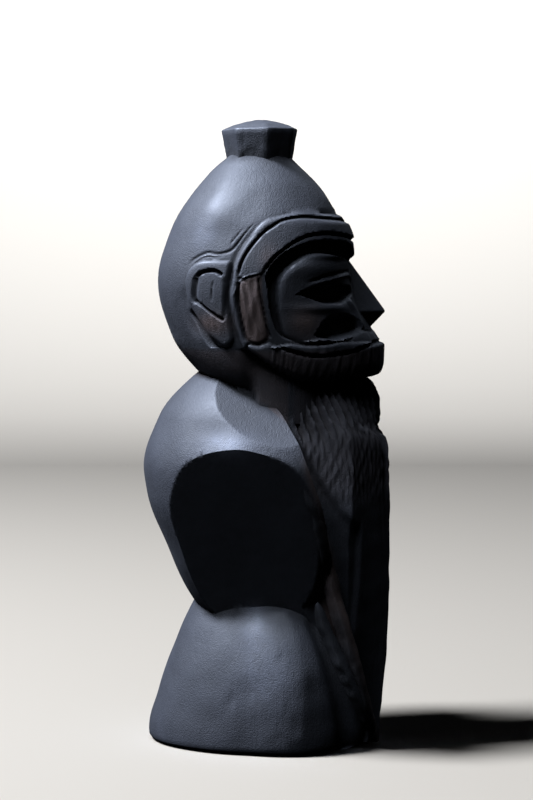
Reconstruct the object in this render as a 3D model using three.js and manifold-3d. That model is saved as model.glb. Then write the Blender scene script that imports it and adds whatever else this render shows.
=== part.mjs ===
// A bearded Norse god, carved by hand from one block of wood and stained black.
// The figure faces -Y, +Z is up, and the origin is the middle of its flat underside. Millimetres.
// It is one solid: a smooth cap with a knob, a mask-like face, a long beard and a wrapped cloak.
import * as THREE from "three";
import { mergeVertices } from "three/addons/utils/BufferGeometryUtils.js";
import { ConvexGeometry } from "three/addons/geometries/ConvexGeometry.js";
import Module from "manifold-3d";

const wasm = await Module();
wasm.setup();

// Driving dimensions
const HEIGHT = 200; // underside to the top of the knob
const DEPTH = 79.4; // beard front to shoulder back
const BACK_BULGE_HEIGHT = 88.9; // where the back bulges furthest
const WAIST_HEIGHT = 45.4; // the notch between cloak bulge and skirt, at the back
const NECK_HEIGHT = 119.4; // the notch between head and shoulders, at the back
const CAP_TOP_HEIGHT = 191; // where the cap runs into the knob
const AXIS_Y = 2; // the upright line that every section is measured from
const FRONT = DEPTH / 2 + AXIS_Y; // axis to the foremost face of the beard
const BACK = DEPTH / 2 - AXIS_Y; // axis to the furthest bulge of the back

const STAIN = new THREE.MeshStandardMaterial({ color: 0x17171b, roughness: 0.42, metalness: 0 });

// A smooth curve through [height, value] stations that never overshoots between them.
function along(stations, height) {
  const last = stations.length - 1;
  const slope = (i) => (stations[i + 1][1] - stations[i][1]) / (stations[i + 1][0] - stations[i][0]);
  const tangent = (i) => {
    if (i === 0) return slope(0);
    if (i === last) return slope(last - 1);
    const before = slope(i - 1);
    const after = slope(i);
    return before * after > 0 ? (2 * before * after) / (before + after) : 0;
  };
  const h = THREE.MathUtils.clamp(height, stations[0][0], stations[last][0]);
  const i = Math.min(stations.findLastIndex((s) => s[0] <= h), last - 1);
  const span = stations[i + 1][0] - stations[i][0];
  const t = (h - stations[i][0]) / span;
  const rise = t * t * (3 - 2 * t);
  const leave = t * (1 - t) * (1 - t) * span * tangent(i);
  const arrive = t * t * (t - 1) * span * tangent(i + 1);
  return stations[i][1] * (1 - rise) + stations[i + 1][1] * rise + leave + arrive;
}

// An oval section: its reach from the axis at an angle from the front, with its own half width,
// front half and back half, and a power that makes it fuller (over 2) or leaner (under 2).
function oval(angle, side, front, back, frontPower, backPower) {
  const facesFront = Math.cos(angle) >= 0;
  const power = facesFront ? frontPower : backPower;
  const across = Math.abs(Math.sin(angle)) / side;
  const lengthwise = Math.abs(Math.cos(angle)) / (facesFront ? front : back);
  return Math.pow(Math.pow(across, power) + Math.pow(lengthwise, power), -1 / power);
}

// The three rounded masses. Each list gives half widths or depths from the axis as [height, value].
const SKIRT_TOP = 58;
const SKIRT = {
  side: [[0, 30.2], [2, 31], [12, 30.3], [22, 28.5], [32, 25.7], [39, 22.8], [WAIST_HEIGHT, 19.4], [SKIRT_TOP, 9]],
  front: [[0, 37.4], [8, 39.6], [28, 40.4], [50, 35], [SKIRT_TOP, 26]],
  back: [[0, 35.4], [2, 36.4], [17, 32.8], [28, 29], [WAIST_HEIGHT, 21.4], [51, 17], [SKIRT_TOP, 9]],
};
const TORSO_FOOT = 40;
const TORSO_TOP = 124;
const TORSO = {
  side: [
    [TORSO_FOOT, 18], [51, 26.5], [62, 31.5], [81, 37], [89, 37.2], [105, 30.4], [NECK_HEIGHT, 17],
    [TORSO_TOP, 10],
  ],
  front: [[TORSO_FOOT, 24], [62, 33], [85, 36.3], [105, 29.5], [NECK_HEIGHT, 17], [TORSO_TOP, 10]],
  back: [
    [TORSO_FOOT, 16], [WAIST_HEIGHT, 21.4], [62, 29.6], [81, 36.7], [BACK_BULGE_HEIGHT, BACK],
    [105, 32.7], [NECK_HEIGHT, 19.9], [TORSO_TOP, 12],
  ],
};
const HEAD_FOOT = 114.5;
const HEAD = {
  side: [
    [HEAD_FOOT, 17], [118, 22.3], [131, 25.5], [148, 27.2], [165.5, 24.3], [178, 18], [188, 9.6],
    [CAP_TOP_HEIGHT, 7],
  ],
  front: [
    [HEAD_FOOT, 30], [116, 36], [118, 38.6], [123, 40.2], [127.5, 39.4], [135, 34.8], [145, 30.2],
    [155, 28.6], [157, 30.3], [166.5, 28], [169, 25.4], [178, 19.4], [188, 9.8], [CAP_TOP_HEIGHT, 7],
  ],
  back: [
    [HEAD_FOOT, 14], [NECK_HEIGHT, 19.9], [131, 28.5], [148.8, 33], [165.5, 28.4], [183, 16.3],
    [CAP_TOP_HEIGHT, 7],
  ],
};
const ovalOf = (mass, frontPower, backPower) => (angle, z) =>
  oval(angle, along(mass.side, z), along(mass.front, z), along(mass.back, z), frontPower, backPower);
const skirtReach = ovalOf(SKIRT, 1.9, 2.2);
const torsoReach = ovalOf(TORSO, 2.1, 2.1);
const headReach = ovalOf(HEAD, 2.1, 2.1);

// The beard and the robe under the cloak: a flat front, a slope to each side and nearly square sides.
// The long lower part stands a little proud of the locks under the jaw.
const BEARD_TOP = 121;
const BEARD = {
  front: [
    [0, 38.4], [13.5, 39.3], [35, 41.1], [67, FRONT], [95, 41.2], [99, 40.4], [101.5, 38], [105, 38.8],
    [110, 38.8], [BEARD_TOP, 37],
  ],
  side: [[0, 13], [15, 16], [30, 19.5], [45, 22.5], [75, 25.5], [90, 25], [BEARD_TOP, 21]],
};
const BEARD_BACK = 13; // hidden in the cloak
const BEARD_POWERS = [6, 3]; // nearly square ahead of the axis, rounder behind it
const BEARD_FLAT = 8.5; // half width of the flat front
const BEARD_SLOPE_START = 29; // how far ahead of the axis the side turns into the slope
const BEARD_SIDE_TAPER = 3.5; // how much narrower the side is there than beside the axis

// Reach to the flat that runs from point (x0, y0) to (x1, y1), both given as across and ahead.
function flatReach(angle, x0, y0, x1, y1) {
  const normal = new THREE.Vector2(y1 - y0, x0 - x1).normalize();
  const facing = normal.x * Math.sin(angle) + normal.y * Math.cos(angle);
  return facing > 1e-3 ? (normal.x * x0 + normal.y * y0) / facing : Infinity;
}
function beardReach(angle, z) {
  const side = along(BEARD.side, z);
  const front = along(BEARD.front, z);
  const turned = side - BEARD_SIDE_TAPER;
  return Math.min(
    oval(angle, side, front, BEARD_BACK, ...BEARD_POWERS),
    flatReach(angle, side, 0, turned, BEARD_SLOPE_START),
    flatReach(angle, turned, BEARD_SLOPE_START, BEARD_FLAT, front),
  );
}

// The cloak's front edge: its angle from the front, by height
const CLOAK_EDGE = [
  [0, 17], [8, 22], [25, 37], [45, 51], [66, 59], [88, 67], [103, 73], [107, 75], [112.6, 86],
  [TORSO_TOP, 110],
];
const cloakEdge = (z) => THREE.MathUtils.degToRad(along(CLOAK_EDGE, z));

// A closed mesh round the axis. reach gives the radius at each row's height and each column's angle.
function roundMass(heights, angles, reach) {
  const rows = heights.map((z) => new THREE.Vector2(1, z));
  const profile = [new THREE.Vector2(0, heights[0]), ...rows, new THREE.Vector2(0, heights.at(-1))];
  const columns = [...angles, ...angles.slice(1, -1).reverse().map((a) => (z) => 2 * Math.PI - a(z))];
  const lathe = new THREE.LatheGeometry(profile, columns.length);
  const place = lathe.getAttribute("position");
  for (let i = 0; i < place.count; i++) {
    const column = Math.floor(i / profile.length) % columns.length;
    const z = place.getY(i);
    const edge = i % profile.length === 0 || i % profile.length === profile.length - 1;
    const angle = columns[column](z);
    const r = edge ? 0 : reach(angle > Math.PI ? 2 * Math.PI - angle : angle, z, column);
    place.setXYZ(i, -r * Math.sin(angle), AXIS_Y - r * Math.cos(angle), z);
  }
  return lathe;
}
const evenly = (from, to, count) =>
  Array.from({ length: count + 1 }, (_, i) => THREE.MathUtils.lerp(from, to, i / count));
const fixedAngle = (degrees) => () => THREE.MathUtils.degToRad(degrees);

// A closed geometry as a solid for joining and cutting, whichever way its faces wind
function solid(geometry) {
  const bare = geometry.clone();
  bare.deleteAttribute("normal");
  bare.deleteAttribute("uv");
  const merged = mergeVertices(bare, 1e-4);
  const corners = Array.from(merged.index.array);
  const faces = [];
  for (let i = 0; i < corners.length; i += 3) {
    const [a, b, c] = corners.slice(i, i + 3);
    if (a !== b && b !== c && c !== a) faces.push(a, b, c);
  }
  const vertProperties = merged.attributes.position.array;
  const make = (list) =>
    new wasm.Manifold(new wasm.Mesh({ numProp: 3, vertProperties, triVerts: new Uint32Array(list) }));
  const made = make(faces);
  if (made.volume() > 0) return made;
  const turned = [];
  for (let i = 0; i < faces.length; i += 3) turned.push(faces[i], faces[i + 2], faces[i + 1]);
  return make(turned);
}

// The cloak's outer mass behind its front edge. Ahead of the edge it keeps inside the beard.
const HIDDEN_REACH = 10;
const EDGE_SIDE = THREE.MathUtils.degToRad(2); // from the foot of the edge's own side to its top
function cloakMass(heights, reach, behind) {
  const ahead = evenly(0, 1, 3).map((t) => (z) => t * (cloakEdge(z) - EDGE_SIDE));
  const outer = evenly(0, 1, behind).map((t) => (z) => cloakEdge(z) + t * (Math.PI - cloakEdge(z)));
  const inner = ahead.length;
  const total = 2 * (ahead.length + outer.length) - 2;
  return solid(
    roundMass(heights, [...ahead, ...outer], (angle, z, column) => {
      const fromFront = Math.min(column, total - column);
      return fromFront < inner ? HIDDEN_REACH : reach(angle, z);
    }),
  );
}

// The broad flat that squares off each upper arm leans in towards the waist.
const ARM_FLAT = { point: [34.4, 9, 96.5], slope: [0.935, 0.13, -0.33], cutterSize: 160 };
function armFlatCutter(sign) {
  const cutter = new THREE.BoxGeometry(ARM_FLAT.cutterSize, ARM_FLAT.cutterSize, ARM_FLAT.cutterSize);
  const mirror = new THREE.Vector3(sign, 1, 1);
  const normal = new THREE.Vector3(...ARM_FLAT.slope).normalize().multiply(mirror);
  const middle = new THREE.Vector3(...ARM_FLAT.point).multiply(mirror);
  middle.addScaledVector(normal, ARM_FLAT.cutterSize / 2);
  cutter.applyQuaternion(new THREE.Quaternion().setFromUnitVectors(new THREE.Vector3(1, 0, 0), normal));
  return solid(cutter.translate(middle.x, middle.y, middle.z));
}

// A point on a mass, at an angle in degrees from the front, lifted off its surface. sign picks the side.
function onMass(reach, sign, degrees, z, lift = 0) {
  const angle = THREE.MathUtils.degToRad(degrees);
  const r = reach(angle, z) + lift;
  return new THREE.Vector3(sign * r * Math.sin(angle), AXIS_Y - r * Math.cos(angle), z);
}

// A rod of even thickness along a smooth line, for gouge cuts and for raised bands
const ROD_SIDES = 5;
function rod(points, radius, steps) {
  const circle = new THREE.EllipseCurve(0, 0, radius, radius);
  const section = new THREE.Shape(circle.getPoints(ROD_SIDES).slice(0, -1));
  const extrudePath = new THREE.CatmullRomCurve3(points, false, "centripetal");
  return solid(new THREE.ExtrudeGeometry(section, { steps, bevelEnabled: false, extrudePath }));
}

// A stroke laid on a mass. Its line is [degrees from the front, height] points, and lift is how far
// its middle stands off the surface.
const strokeSide = (reach, sign, stroke) =>
  stroke.line.map(([degrees, z]) => onMass(reach, sign, degrees, z, stroke.lift));

// The same stroke on both sides of the face
const onBothSides = (reach, stroke) =>
  [1, -1].map((sign) => rod(strokeSide(reach, sign, stroke), stroke.radius, stroke.steps));

// One stroke round the front from side to side. Its line starts at the middle of the front.
function acrossFront(reach, stroke) {
  const points = [...strokeSide(reach, -1, stroke).reverse(), ...strokeSide(reach, 1, stroke).slice(1)];
  return rod(points, stroke.radius, stroke.steps);
}

const BROW_BAND = {
  radius: 2, lift: -0.9, steps: 30,
  line: [
    [0, 168.2], [20, 168.7], [38, 169.6], [55, 169.8], [70, 168.6], [84, 165.6], [95, 160.5],
    [102, 154], [105.5, 146], [104.5, 138], [100, 130], [92, 124.5], [80, 121.5],
  ],
};
const BROW_GROOVE = {
  radius: 1, lift: 0.1, steps: 18,
  line: [
    [0, 160.6], [16, 161.5], [33, 163.2], [46, 163.4], [61, 161.8], [71, 159.5], [80, 156],
    [88, 151.2],
  ],
};
const SOCKET = {
  radius: 2.6, lift: 0.4, steps: 12,
  line: [
    [15, 156.6], [30, 159.3], [46, 160], [60, 158.4], [71, 155], [79, 150], [82.5, 144], [81.5, 137.5],
    [75, 132.8],
  ],
};
const EYE_SLIT = {
  radius: 1.5, lift: 0.4, steps: 4,
  line: [[23, 147.6], [34, 147.4], [46, 146.6], [58, 145.6]],
};
const UNDER_CHEEK = { radius: 1.9, lift: 0.4, steps: 3, line: [[14, 137.2], [26, 138.6], [38, 137.6]] };
const LIP_BAND = {
  radius: 1.8, lift: -0.7, steps: 16,
  line: [[0, 131.6], [12, 131.2], [26, 129.6], [42, 128], [58, 128.4], [70, 130.6], [78, 134]],
};
const MOUTH_GROOVE = {
  radius: 1.1, lift: 0.1, steps: 16,
  line: [[0, 128.9], [14, 128.3], [28, 126.5], [45, 125.2], [62, 126.2], [78, 129.6]],
};
const CHEEK_GROOVE = {
  radius: 0.9, lift: 0.1, steps: 5,
  line: [[90, 147.8], [88.5, 141], [86, 134.5], [82, 130]],
};
const JAW_GROOVE = {
  radius: 1, lift: 0.3, steps: 16,
  line: [[0, 116.6], [16, 116.6], [32, 116], [50, 116.6], [66, 118.4], [80, 121], [92, 124.6]],
};
const CAP_KEEL = { radius: 1.9, lift: -1.6, steps: 7, line: [[0, 171], [0, 178], [0, 184], [0, 189]] };

// The nose, a plain wedge: half widths, distances ahead of the origin and heights
const NOSE = {
  root: { half: 2.2, y: -27, z: 156 },
  tip: { half: 0.7, y: -37.9, z: 138.8 },
  foot: { half: 1.4, y: -34, z: 133.6 },
  wing: { half: 6.4, y: -30 },
  sunk: 6, // how far its root and its wings run back into the face
  wingSunk: 8,
};
function nose() {
  const { root, tip, foot, wing, sunk, wingSunk } = NOSE;
  const corners = [1, -1].flatMap((sign) => [
    new THREE.Vector3(sign * tip.half, root.y, root.z),
    new THREE.Vector3(sign * root.half, root.y + sunk, root.z),
    new THREE.Vector3(sign * tip.half, tip.y, tip.z),
    new THREE.Vector3(sign * foot.half, foot.y, foot.z),
    new THREE.Vector3(sign * wing.half, wing.y, foot.z),
    new THREE.Vector3(sign * wing.half, wing.y + wingSunk, foot.z),
  ]);
  return solid(new ConvexGeometry(corners));
}

// Each ear is a flat D against the head with a raised rim and a raised inner plate.
const EAR = { degrees: 121, height: 144, turn: 22, halfWidth: 8.6, top: 10.6, bottom: 13.2 };
const EAR_RIM = 2.6; // width of the rim
const EAR_HOLLOW = 1.4; // width of the hollow inside the rim
const EAR_PROUD = 1.5; // how far the rim stands off the head
const EAR_SUNK = 4; // how far its block runs into the head
const EAR_HOLLOW_FLOOR = -0.4;
function earShape(inset) {
  const across = EAR.halfWidth - inset;
  const top = EAR.top - inset;
  const bottom = EAR.bottom - inset * 1.6;
  const shape = new THREE.Shape();
  shape.moveTo(-across, top * 0.92);
  shape.quadraticCurveTo(across * 0.95, top * 1.12, across, top * 0.35);
  shape.quadraticCurveTo(across * 0.9, -bottom * 0.35, across * 0.1, -bottom * 0.62);
  shape.lineTo(-across * 0.8, -bottom);
  return shape;
}
// The D as a plate from one distance off the head to another, on the side that sign picks
function earPlate(sign, inset, from, to) {
  const settings = { depth: to - from, bevelEnabled: false, curveSegments: 5 };
  const geometry = new THREE.ExtrudeGeometry(earShape(inset), settings).translate(0, 0, from);
  const turn = THREE.MathUtils.degToRad(EAR.turn);
  const back = new THREE.Vector3(-sign * Math.sin(turn), Math.cos(turn), 0);
  const up = new THREE.Vector3(0, 0, 1);
  const outwards = new THREE.Vector3(sign * Math.cos(turn), Math.sin(turn), 0);
  const at = onMass(headReach, sign, EAR.degrees, EAR.height);
  return solid(geometry.applyMatrix4(new THREE.Matrix4().makeBasis(back, up, outwards).setPosition(at)));
}
function ear(sign) {
  const inner = earPlate(sign, EAR_RIM + EAR_HOLLOW, EAR_HOLLOW_FLOOR - 1, EAR_PROUD + 2);
  const hollow = earPlate(sign, EAR_RIM, EAR_HOLLOW_FLOOR, EAR_PROUD + 1).subtract(inner);
  return { body: earPlate(sign, 0, -EAR_SUNK, EAR_PROUD), hollow };
}

// The knob on the cap: six cut faces that flare upwards under a low, faceted dome
const KNOB_PROFILE = [[0, 186.4], [9.8, 186.4], [12.1, 196.6], [7, HEIGHT - 1], [0, HEIGHT]]; // [r, z]
const KNOB_SIDES = 6;
const KNOB_TURN = 97; // degrees, which brings one corner to just ahead of each side
const KNOB_DEEPER = 1.12; // front to back, against side to side
const KNOB_CENTRE_Y = 2.1;
function knob() {
  const flare = new THREE.LatheGeometry(KNOB_PROFILE.map(([r, z]) => new THREE.Vector2(r, z)), KNOB_SIDES);
  flare.rotateX(Math.PI / 2).rotateZ(THREE.MathUtils.degToRad(KNOB_TURN)).scale(1, KNOB_DEEPER, 1);
  return solid(flare.translate(0, KNOB_CENTRE_Y, 0));
}

// Locks of the beard: gouged flutes that start under the jaw. The side ones run forwards as they go
// down and stop early, and the two nearest the middle run down the whole front.
const LOCKS = {
  count: 6,
  middle: 2, // how many of them run down the whole front
  firstAngle: 5,
  lastAngle: 64,
  draw: 0.22, // share of its angle that a lock loses on the way down
  top: 115.5,
  frontFoot: 6,
  sideFeet: [72, 86],
};
const LOCK_GOUGE = { radius: 1.15, lift: 0.2, steps: 4 };
const LONG_GOUGE = { radius: 1.15, lift: 0.2, steps: 12 };
function beardFlutes() {
  const flutes = [];
  for (let i = 0; i < LOCKS.count; i++) {
    const share = i / (LOCKS.count - 1);
    const angle = THREE.MathUtils.lerp(LOCKS.firstAngle, LOCKS.lastAngle, share);
    const long = i < LOCKS.middle;
    const foot = long ? LOCKS.frontFoot : THREE.MathUtils.lerp(...LOCKS.sideFeet, share);
    const down = (t) => [angle * (1 - t * LOCKS.draw), THREE.MathUtils.lerp(LOCKS.top, foot, t)];
    const gouge = long ? LONG_GOUGE : LOCK_GOUGE;
    flutes.push(...onBothSides(beardReach, { ...gouge, line: evenly(0, 1, 4).map(down) }));
  }
  return flutes;
}

// The cloak's rolled front edge above and below the waist, and the second fold beside the lower one
const UPPER_EDGE = { reach: torsoReach, foot: 51, top: 103, lead: -1.5, radius: 1.7, steps: 9 };
const LOWER_EDGE = { reach: skirtReach, foot: 1.8, top: 54, lead: -2, radius: 1.7, steps: 9 };
const FOLD = { reach: skirtReach, foot: 6, top: SKIRT_TOP, leadPerHeight: 0.2, radius: 1.3, steps: 8 };
function edgeRoll(sign, roll) {
  const points = evenly(roll.foot, roll.top, 6).map((z) => {
    const lead = roll.lead ?? roll.leadPerHeight * z; // degrees ahead of the edge
    return onMass(roll.reach, sign, along(CLOAK_EDGE, z) - lead, z, -roll.radius);
  });
  return rod(points, roll.radius, roll.steps);
}
const edgeRolls = () =>
  [1, -1].flatMap((sign) => [UPPER_EDGE, LOWER_EDGE, FOLD].map((roll) => edgeRoll(sign, roll)));

const unite = (solids) => solids.reduce((whole, piece) => whole.add(piece));
const cut = (whole, cutters) => cutters.reduce((left, cutter) => left.subtract(cutter), whole);

// Rows of each mass, closer together where its outline turns or steps
const SKIRT_ROWS = [0, 2, 8, 16, 25, 33, 40, 46, 50, 54, SKIRT_TOP];
const TORSO_ROWS = [TORSO_FOOT, 46, 52, 60, 68, 75, 82, 89, 95, 100, 105, 109, 113, 117, 120, TORSO_TOP];
const BEARD_ROWS = [0, 20, 45, 70, 90, 97, 99.4, 100.6, 101.5, 105, 110, 115, BEARD_TOP];
const HEAD_ROWS = [
  HEAD_FOOT, 116, 118, 120.5, 123, 127.5, 131, 135, 140, 145, 150, 155, 157, 162, 166.5, 169, 173, 178,
  182, 186, 189, CAP_TOP_HEIGHT,
];
const BEARD_ANGLES = [0, 6, 11.5, 20, 31, 39, 48, 58, 70, 85, 110, 145, 180]; // closer at its corners
const SKIRT_COLUMNS = 14;
const TORSO_COLUMNS = 16;
const HEAD_COLUMNS = 17;

function carving() {
  const armFlats = [1, -1].map(armFlatCutter);
  const skirt = cloakMass(SKIRT_ROWS, skirtReach, SKIRT_COLUMNS);
  const torso = cut(cloakMass(TORSO_ROWS, torsoReach, TORSO_COLUMNS), armFlats);
  const beardBlock = solid(roundMass(BEARD_ROWS, BEARD_ANGLES.map(fixedAngle), beardReach));
  const beard = cut(beardBlock, [...armFlats, ...beardFlutes()]);
  const ears = [1, -1].map(ear);
  const head = solid(roundMass(HEAD_ROWS, evenly(0, 180, HEAD_COLUMNS).map(fixedAngle), headReach));
  const grooves = [BROW_GROOVE, MOUTH_GROOVE, JAW_GROOVE].map((stroke) => acrossFront(headReach, stroke));
  const sideStrokes = [SOCKET, EYE_SLIT, UNDER_CHEEK, CHEEK_GROOVE];
  const hollows = sideStrokes.flatMap((stroke) => onBothSides(headReach, stroke));
  hollows.push(...ears.map((e) => e.hollow));
  const face = cut(unite([head, ...ears.map((e) => e.body)]), [...grooves, ...hollows]);
  const bands = [BROW_BAND, LIP_BAND].map((stroke) => acrossFront(headReach, stroke));
  const keel = rod(strokeSide(headReach, 1, CAP_KEEL), CAP_KEEL.radius, CAP_KEEL.steps);
  return unite([skirt, torso, beard, face, ...bands, keel, nose(), knob(), ...edgeRolls()]);
}

// Joining leaves edges and slivers too small to carve. Short edges are drawn together, and a triangle
// that is nearly a line gives its long edge up to the neighbour across it.
const SHORT_EDGE = 0.12;
const THIN_TRIANGLE = 0.01; // least height over its longest edge
const CLEANING_ROUNDS = 12;
const LEAST_TURN = 0.5; // cosine between a triangle's old and new normals
function withoutSlivers(points, triangles) {
  const around = points.map(() => new Set());
  const attach = (triangle) => triangle.forEach((corner) => around[corner].add(triangle));
  const detach = (triangle) => triangle.forEach((corner) => around[corner].delete(triangle));
  const neighbours = (corner) => new Set([...around[corner]].flat().filter((other) => other !== corner));
  const flat = (triangle) => new THREE.Triangle(...triangle.map((corner) => points[corner]));
  const lengths = (t) => t.map((corner, i) => points[corner].distanceTo(points[t[(i + 1) % 3]]));
  const isThin = (t) => (2 * flat(t).getArea()) / Math.max(...lengths(t)) < THIN_TRIANGLE;
  const folds = (before, after) =>
    flat(before).getNormal(new THREE.Vector3()).dot(flat(after).getNormal(new THREE.Vector3())) < LEAST_TURN;
  triangles.forEach(attach);

  // Moves the second end of an edge onto the first, unless that would fold the surface over
  function drawTogether(kept, lost) {
    const shared = [...neighbours(kept)].filter((corner) => neighbours(lost).has(corner));
    if (shared.length !== 2) return false;
    const moving = [...around[lost]].filter((triangle) => !triangle.includes(kept));
    const moved = moving.map((triangle) => triangle.map((corner) => (corner === lost ? kept : corner)));
    if (moving.some((triangle, i) => !isThin(triangle) && folds(triangle, moved[i]))) return false;
    [...around[lost]].forEach(detach);
    moved.forEach(attach);
    return true;
  }
  // Swaps the edge between two triangles for the one between their far corners
  function turnEdge(triangle, side) {
    const [a, b, c] = [0, 1, 2].map((i) => triangle[(side + i) % 3]);
    const other = [...around[a]].find((t) => t !== triangle && t.includes(b));
    const d = other.find((corner) => corner !== a && corner !== b);
    const turned = [[a, d, c], [d, b, c]];
    if (neighbours(c).has(d) || turned.some(isThin)) return false;
    [triangle, other].forEach(detach);
    turned.forEach(attach);
    return true;
  }
  // Mends one triangle, and says whether it changed anything
  function mend(triangle) {
    const edges = lengths(triangle);
    const shortest = edges.indexOf(Math.min(...edges));
    const isShort = edges[shortest] < SHORT_EDGE;
    if (!isShort && !isThin(triangle)) return false;
    if (!isShort && turnEdge(triangle, edges.indexOf(Math.max(...edges)))) return true;
    const [a, b] = [triangle[shortest], triangle[(shortest + 1) % 3]];
    return drawTogether(a, b) || drawTogether(b, a);
  }
  const left = () => [...new Set(around.flatMap((set) => [...set]))];
  for (let round = 0; round < CLEANING_ROUNDS; round++) {
    for (const triangle of left()) {
      if (around[triangle[0]].has(triangle)) mend(triangle);
    }
  }
  return left();
}

// A joined solid as a mesh
function meshOf(whole, name, material) {
  const made = whole.getMesh();
  const threes = (list) =>
    Array.from({ length: list.length / 3 }, (_, i) => [...list.slice(3 * i, 3 * i + 3)]);
  const points = threes(made.vertProperties).map((place) => new THREE.Vector3(...place));
  const triangles = threes(made.triVerts);
  const corners = withoutSlivers(points, triangles).flat().map((corner) => points[corner]);
  const geometry = new THREE.BufferGeometry().setFromPoints(corners);
  geometry.computeVertexNormals();
  const mesh = new THREE.Mesh(geometry, material);
  mesh.name = name;
  return mesh;
}

const figure = new THREE.Group();
figure.add(meshOf(carving(), "carved_figure", STAIN));
export default figure;
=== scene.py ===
"""Carved and stained surface of a small standing wooden figure: a bearded elder in a cap and a cloak.

The figure is one block of wood, so it is one piece here. Its masses (skirt, torso, beard, head, knob and
the folded edges of the cloak) are wrapped skins whose points are moved as a carver's tools would cut them.
They are then joined into one skin and dressed in black stain.

Sizes are millimetres until a mesh is written. The figure faces -Y and its upright axis line stands at
AXIS_Y. Angles are degrees about that line from the front, positive towards +X. A drawn line or outline is
given for one side, as (degrees, height), and holds for both.
"""

from __future__ import annotations

import logging
import math
from collections.abc import Callable
from dataclasses import dataclass, field
from enum import Enum

import bmesh
import bpy
import numpy as np
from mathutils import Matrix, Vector

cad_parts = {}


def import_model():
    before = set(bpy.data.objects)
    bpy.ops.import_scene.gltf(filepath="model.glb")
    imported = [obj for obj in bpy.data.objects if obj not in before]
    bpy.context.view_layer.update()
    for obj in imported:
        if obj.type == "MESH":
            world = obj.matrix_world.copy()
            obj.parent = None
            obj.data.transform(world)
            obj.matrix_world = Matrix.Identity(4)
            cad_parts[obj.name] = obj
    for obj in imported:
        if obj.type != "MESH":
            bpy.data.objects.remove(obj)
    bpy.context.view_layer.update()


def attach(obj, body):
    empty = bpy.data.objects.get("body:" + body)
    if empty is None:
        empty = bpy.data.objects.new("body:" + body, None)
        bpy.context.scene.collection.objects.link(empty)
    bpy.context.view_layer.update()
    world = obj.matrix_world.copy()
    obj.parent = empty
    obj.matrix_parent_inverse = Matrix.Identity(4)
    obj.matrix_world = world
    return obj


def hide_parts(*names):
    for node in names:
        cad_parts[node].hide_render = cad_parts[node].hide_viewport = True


LOG = logging.getLogger("carving")
MM = 0.001
AXIS_Y = 2.0
DEGREE_MM = 0.5  # width of one degree on the face, so that strokes can be measured on a flat sheet
MERGE = 1e-6
TINY = 1e-6  # keeps a length or a share from being zero where it divides
NODE = "carved_figure"

Array = np.ndarray
Points = tuple[tuple[float, float], ...]
Place = tuple[float, float, float]
Colour = tuple[float, float, float]
Runs = tuple[tuple[float, float, float], ...]  # stretches, each given as (from, to, step)


def eased(share: Array) -> Array:
    """A soft step from 0 to 1 as share runs from 0 to 1."""
    inside = np.clip(share, 0.0, 1.0)
    return inside * inside * (3.0 - 2.0 * inside)


def upright(angle: Array, reach: Array, height: Array) -> Array:
    """Points at an angle, a reach from the axis line and a height.

    Args:
        angle: degrees from the front.
        reach: distance from the axis line.
        height: height above the table.

    Returns:
        One row of x, y and z for each point.
    """
    turn = np.radians(angle)
    return np.stack([reach * np.sin(turn), AXIS_Y - reach * np.cos(turn), height + 0.0 * reach], axis=-1)


def waviness(points: Array, wavelength: float, seed: int, waves: int = 10) -> Array:
    """Slow unevenness of a hand-worked surface, between about -1 and 1.

    Args:
        points: one row of coordinates for each point.
        wavelength: mean distance between two swells, in the points' unit.
        seed: number that fixes the pattern.
        waves: how many plane waves are laid over each other.

    Returns:
        One value for each point.
    """
    draw = np.random.default_rng(seed)
    total = np.zeros(len(points))
    for _ in range(waves):
        heading = draw.normal(size=points.shape[1])
        heading /= np.linalg.norm(heading)
        turns = 2.0 * math.pi / (wavelength * draw.uniform(0.7, 1.5))
        total += np.sin(points @ heading * turns + draw.uniform(0.0, 2.0 * math.pi))
    return total / math.sqrt(waves)


@dataclass(frozen=True)
class Rail:
    """A smooth rule that gives one value for each place along it, without overshoot between stations."""

    stations: Points

    def at(self, place: Array) -> Array:
        """Values at the places asked for; past either end the rail stays level.

        Args:
            place: places along the rail.

        Returns:
            One value for each place.
        """
        knots, values = np.array(self.stations, float).T
        gaps = np.diff(knots)
        rises = np.diff(values) / gaps
        slopes = np.zeros_like(values)
        slopes[0], slopes[-1] = rises[0], rises[-1]
        for i in range(1, len(values) - 1):
            if rises[i - 1] * rises[i] > 0.0:
                early = 2.0 * gaps[i] + gaps[i - 1]
                late = gaps[i] + 2.0 * gaps[i - 1]
                slopes[i] = (early + late) / (early / rises[i - 1] + late / rises[i])
        place = np.clip(place, knots[0], knots[-1])
        span = np.clip(np.searchsorted(knots, place, side="right") - 1, 0, len(gaps) - 1)
        t = (place - knots[span]) / gaps[span]
        start = (2 * t**3 - 3 * t**2 + 1) * values[span] + (t**3 - 2 * t**2 + t) * gaps[span] * slopes[span]
        end = (3 * t**2 - 2 * t**3) * values[span + 1] + (t**3 - t**2) * gaps[span] * slopes[span + 1]
        return start + end


@dataclass(frozen=True)
class Mass:
    """A rounded upright mass, given by its reach to the side, the front and the back at each height."""

    side: Rail
    front: Rail
    back: Rail
    front_power: float = 2.1
    back_power: float = 2.1

    def reach(self, angle: Array, height: Array) -> Array:
        """Distance from the axis line to the surface.

        Args:
            angle: degrees from the front, negative on the -X side.
            height: height above the table.

        Returns:
            The reach at each point.
        """
        turn = np.radians(angle)
        sine, cosine = np.abs(np.sin(turn)), np.cos(turn)
        ahead = cosine >= 0.0
        depth = np.where(ahead, self.front.at(height), self.back.at(height))
        power = np.where(ahead, self.front_power, self.back_power)
        oval = (sine / self.side.at(height)) ** power + (np.abs(cosine) / depth) ** power
        return oval ** (-1.0 / power)


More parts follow.
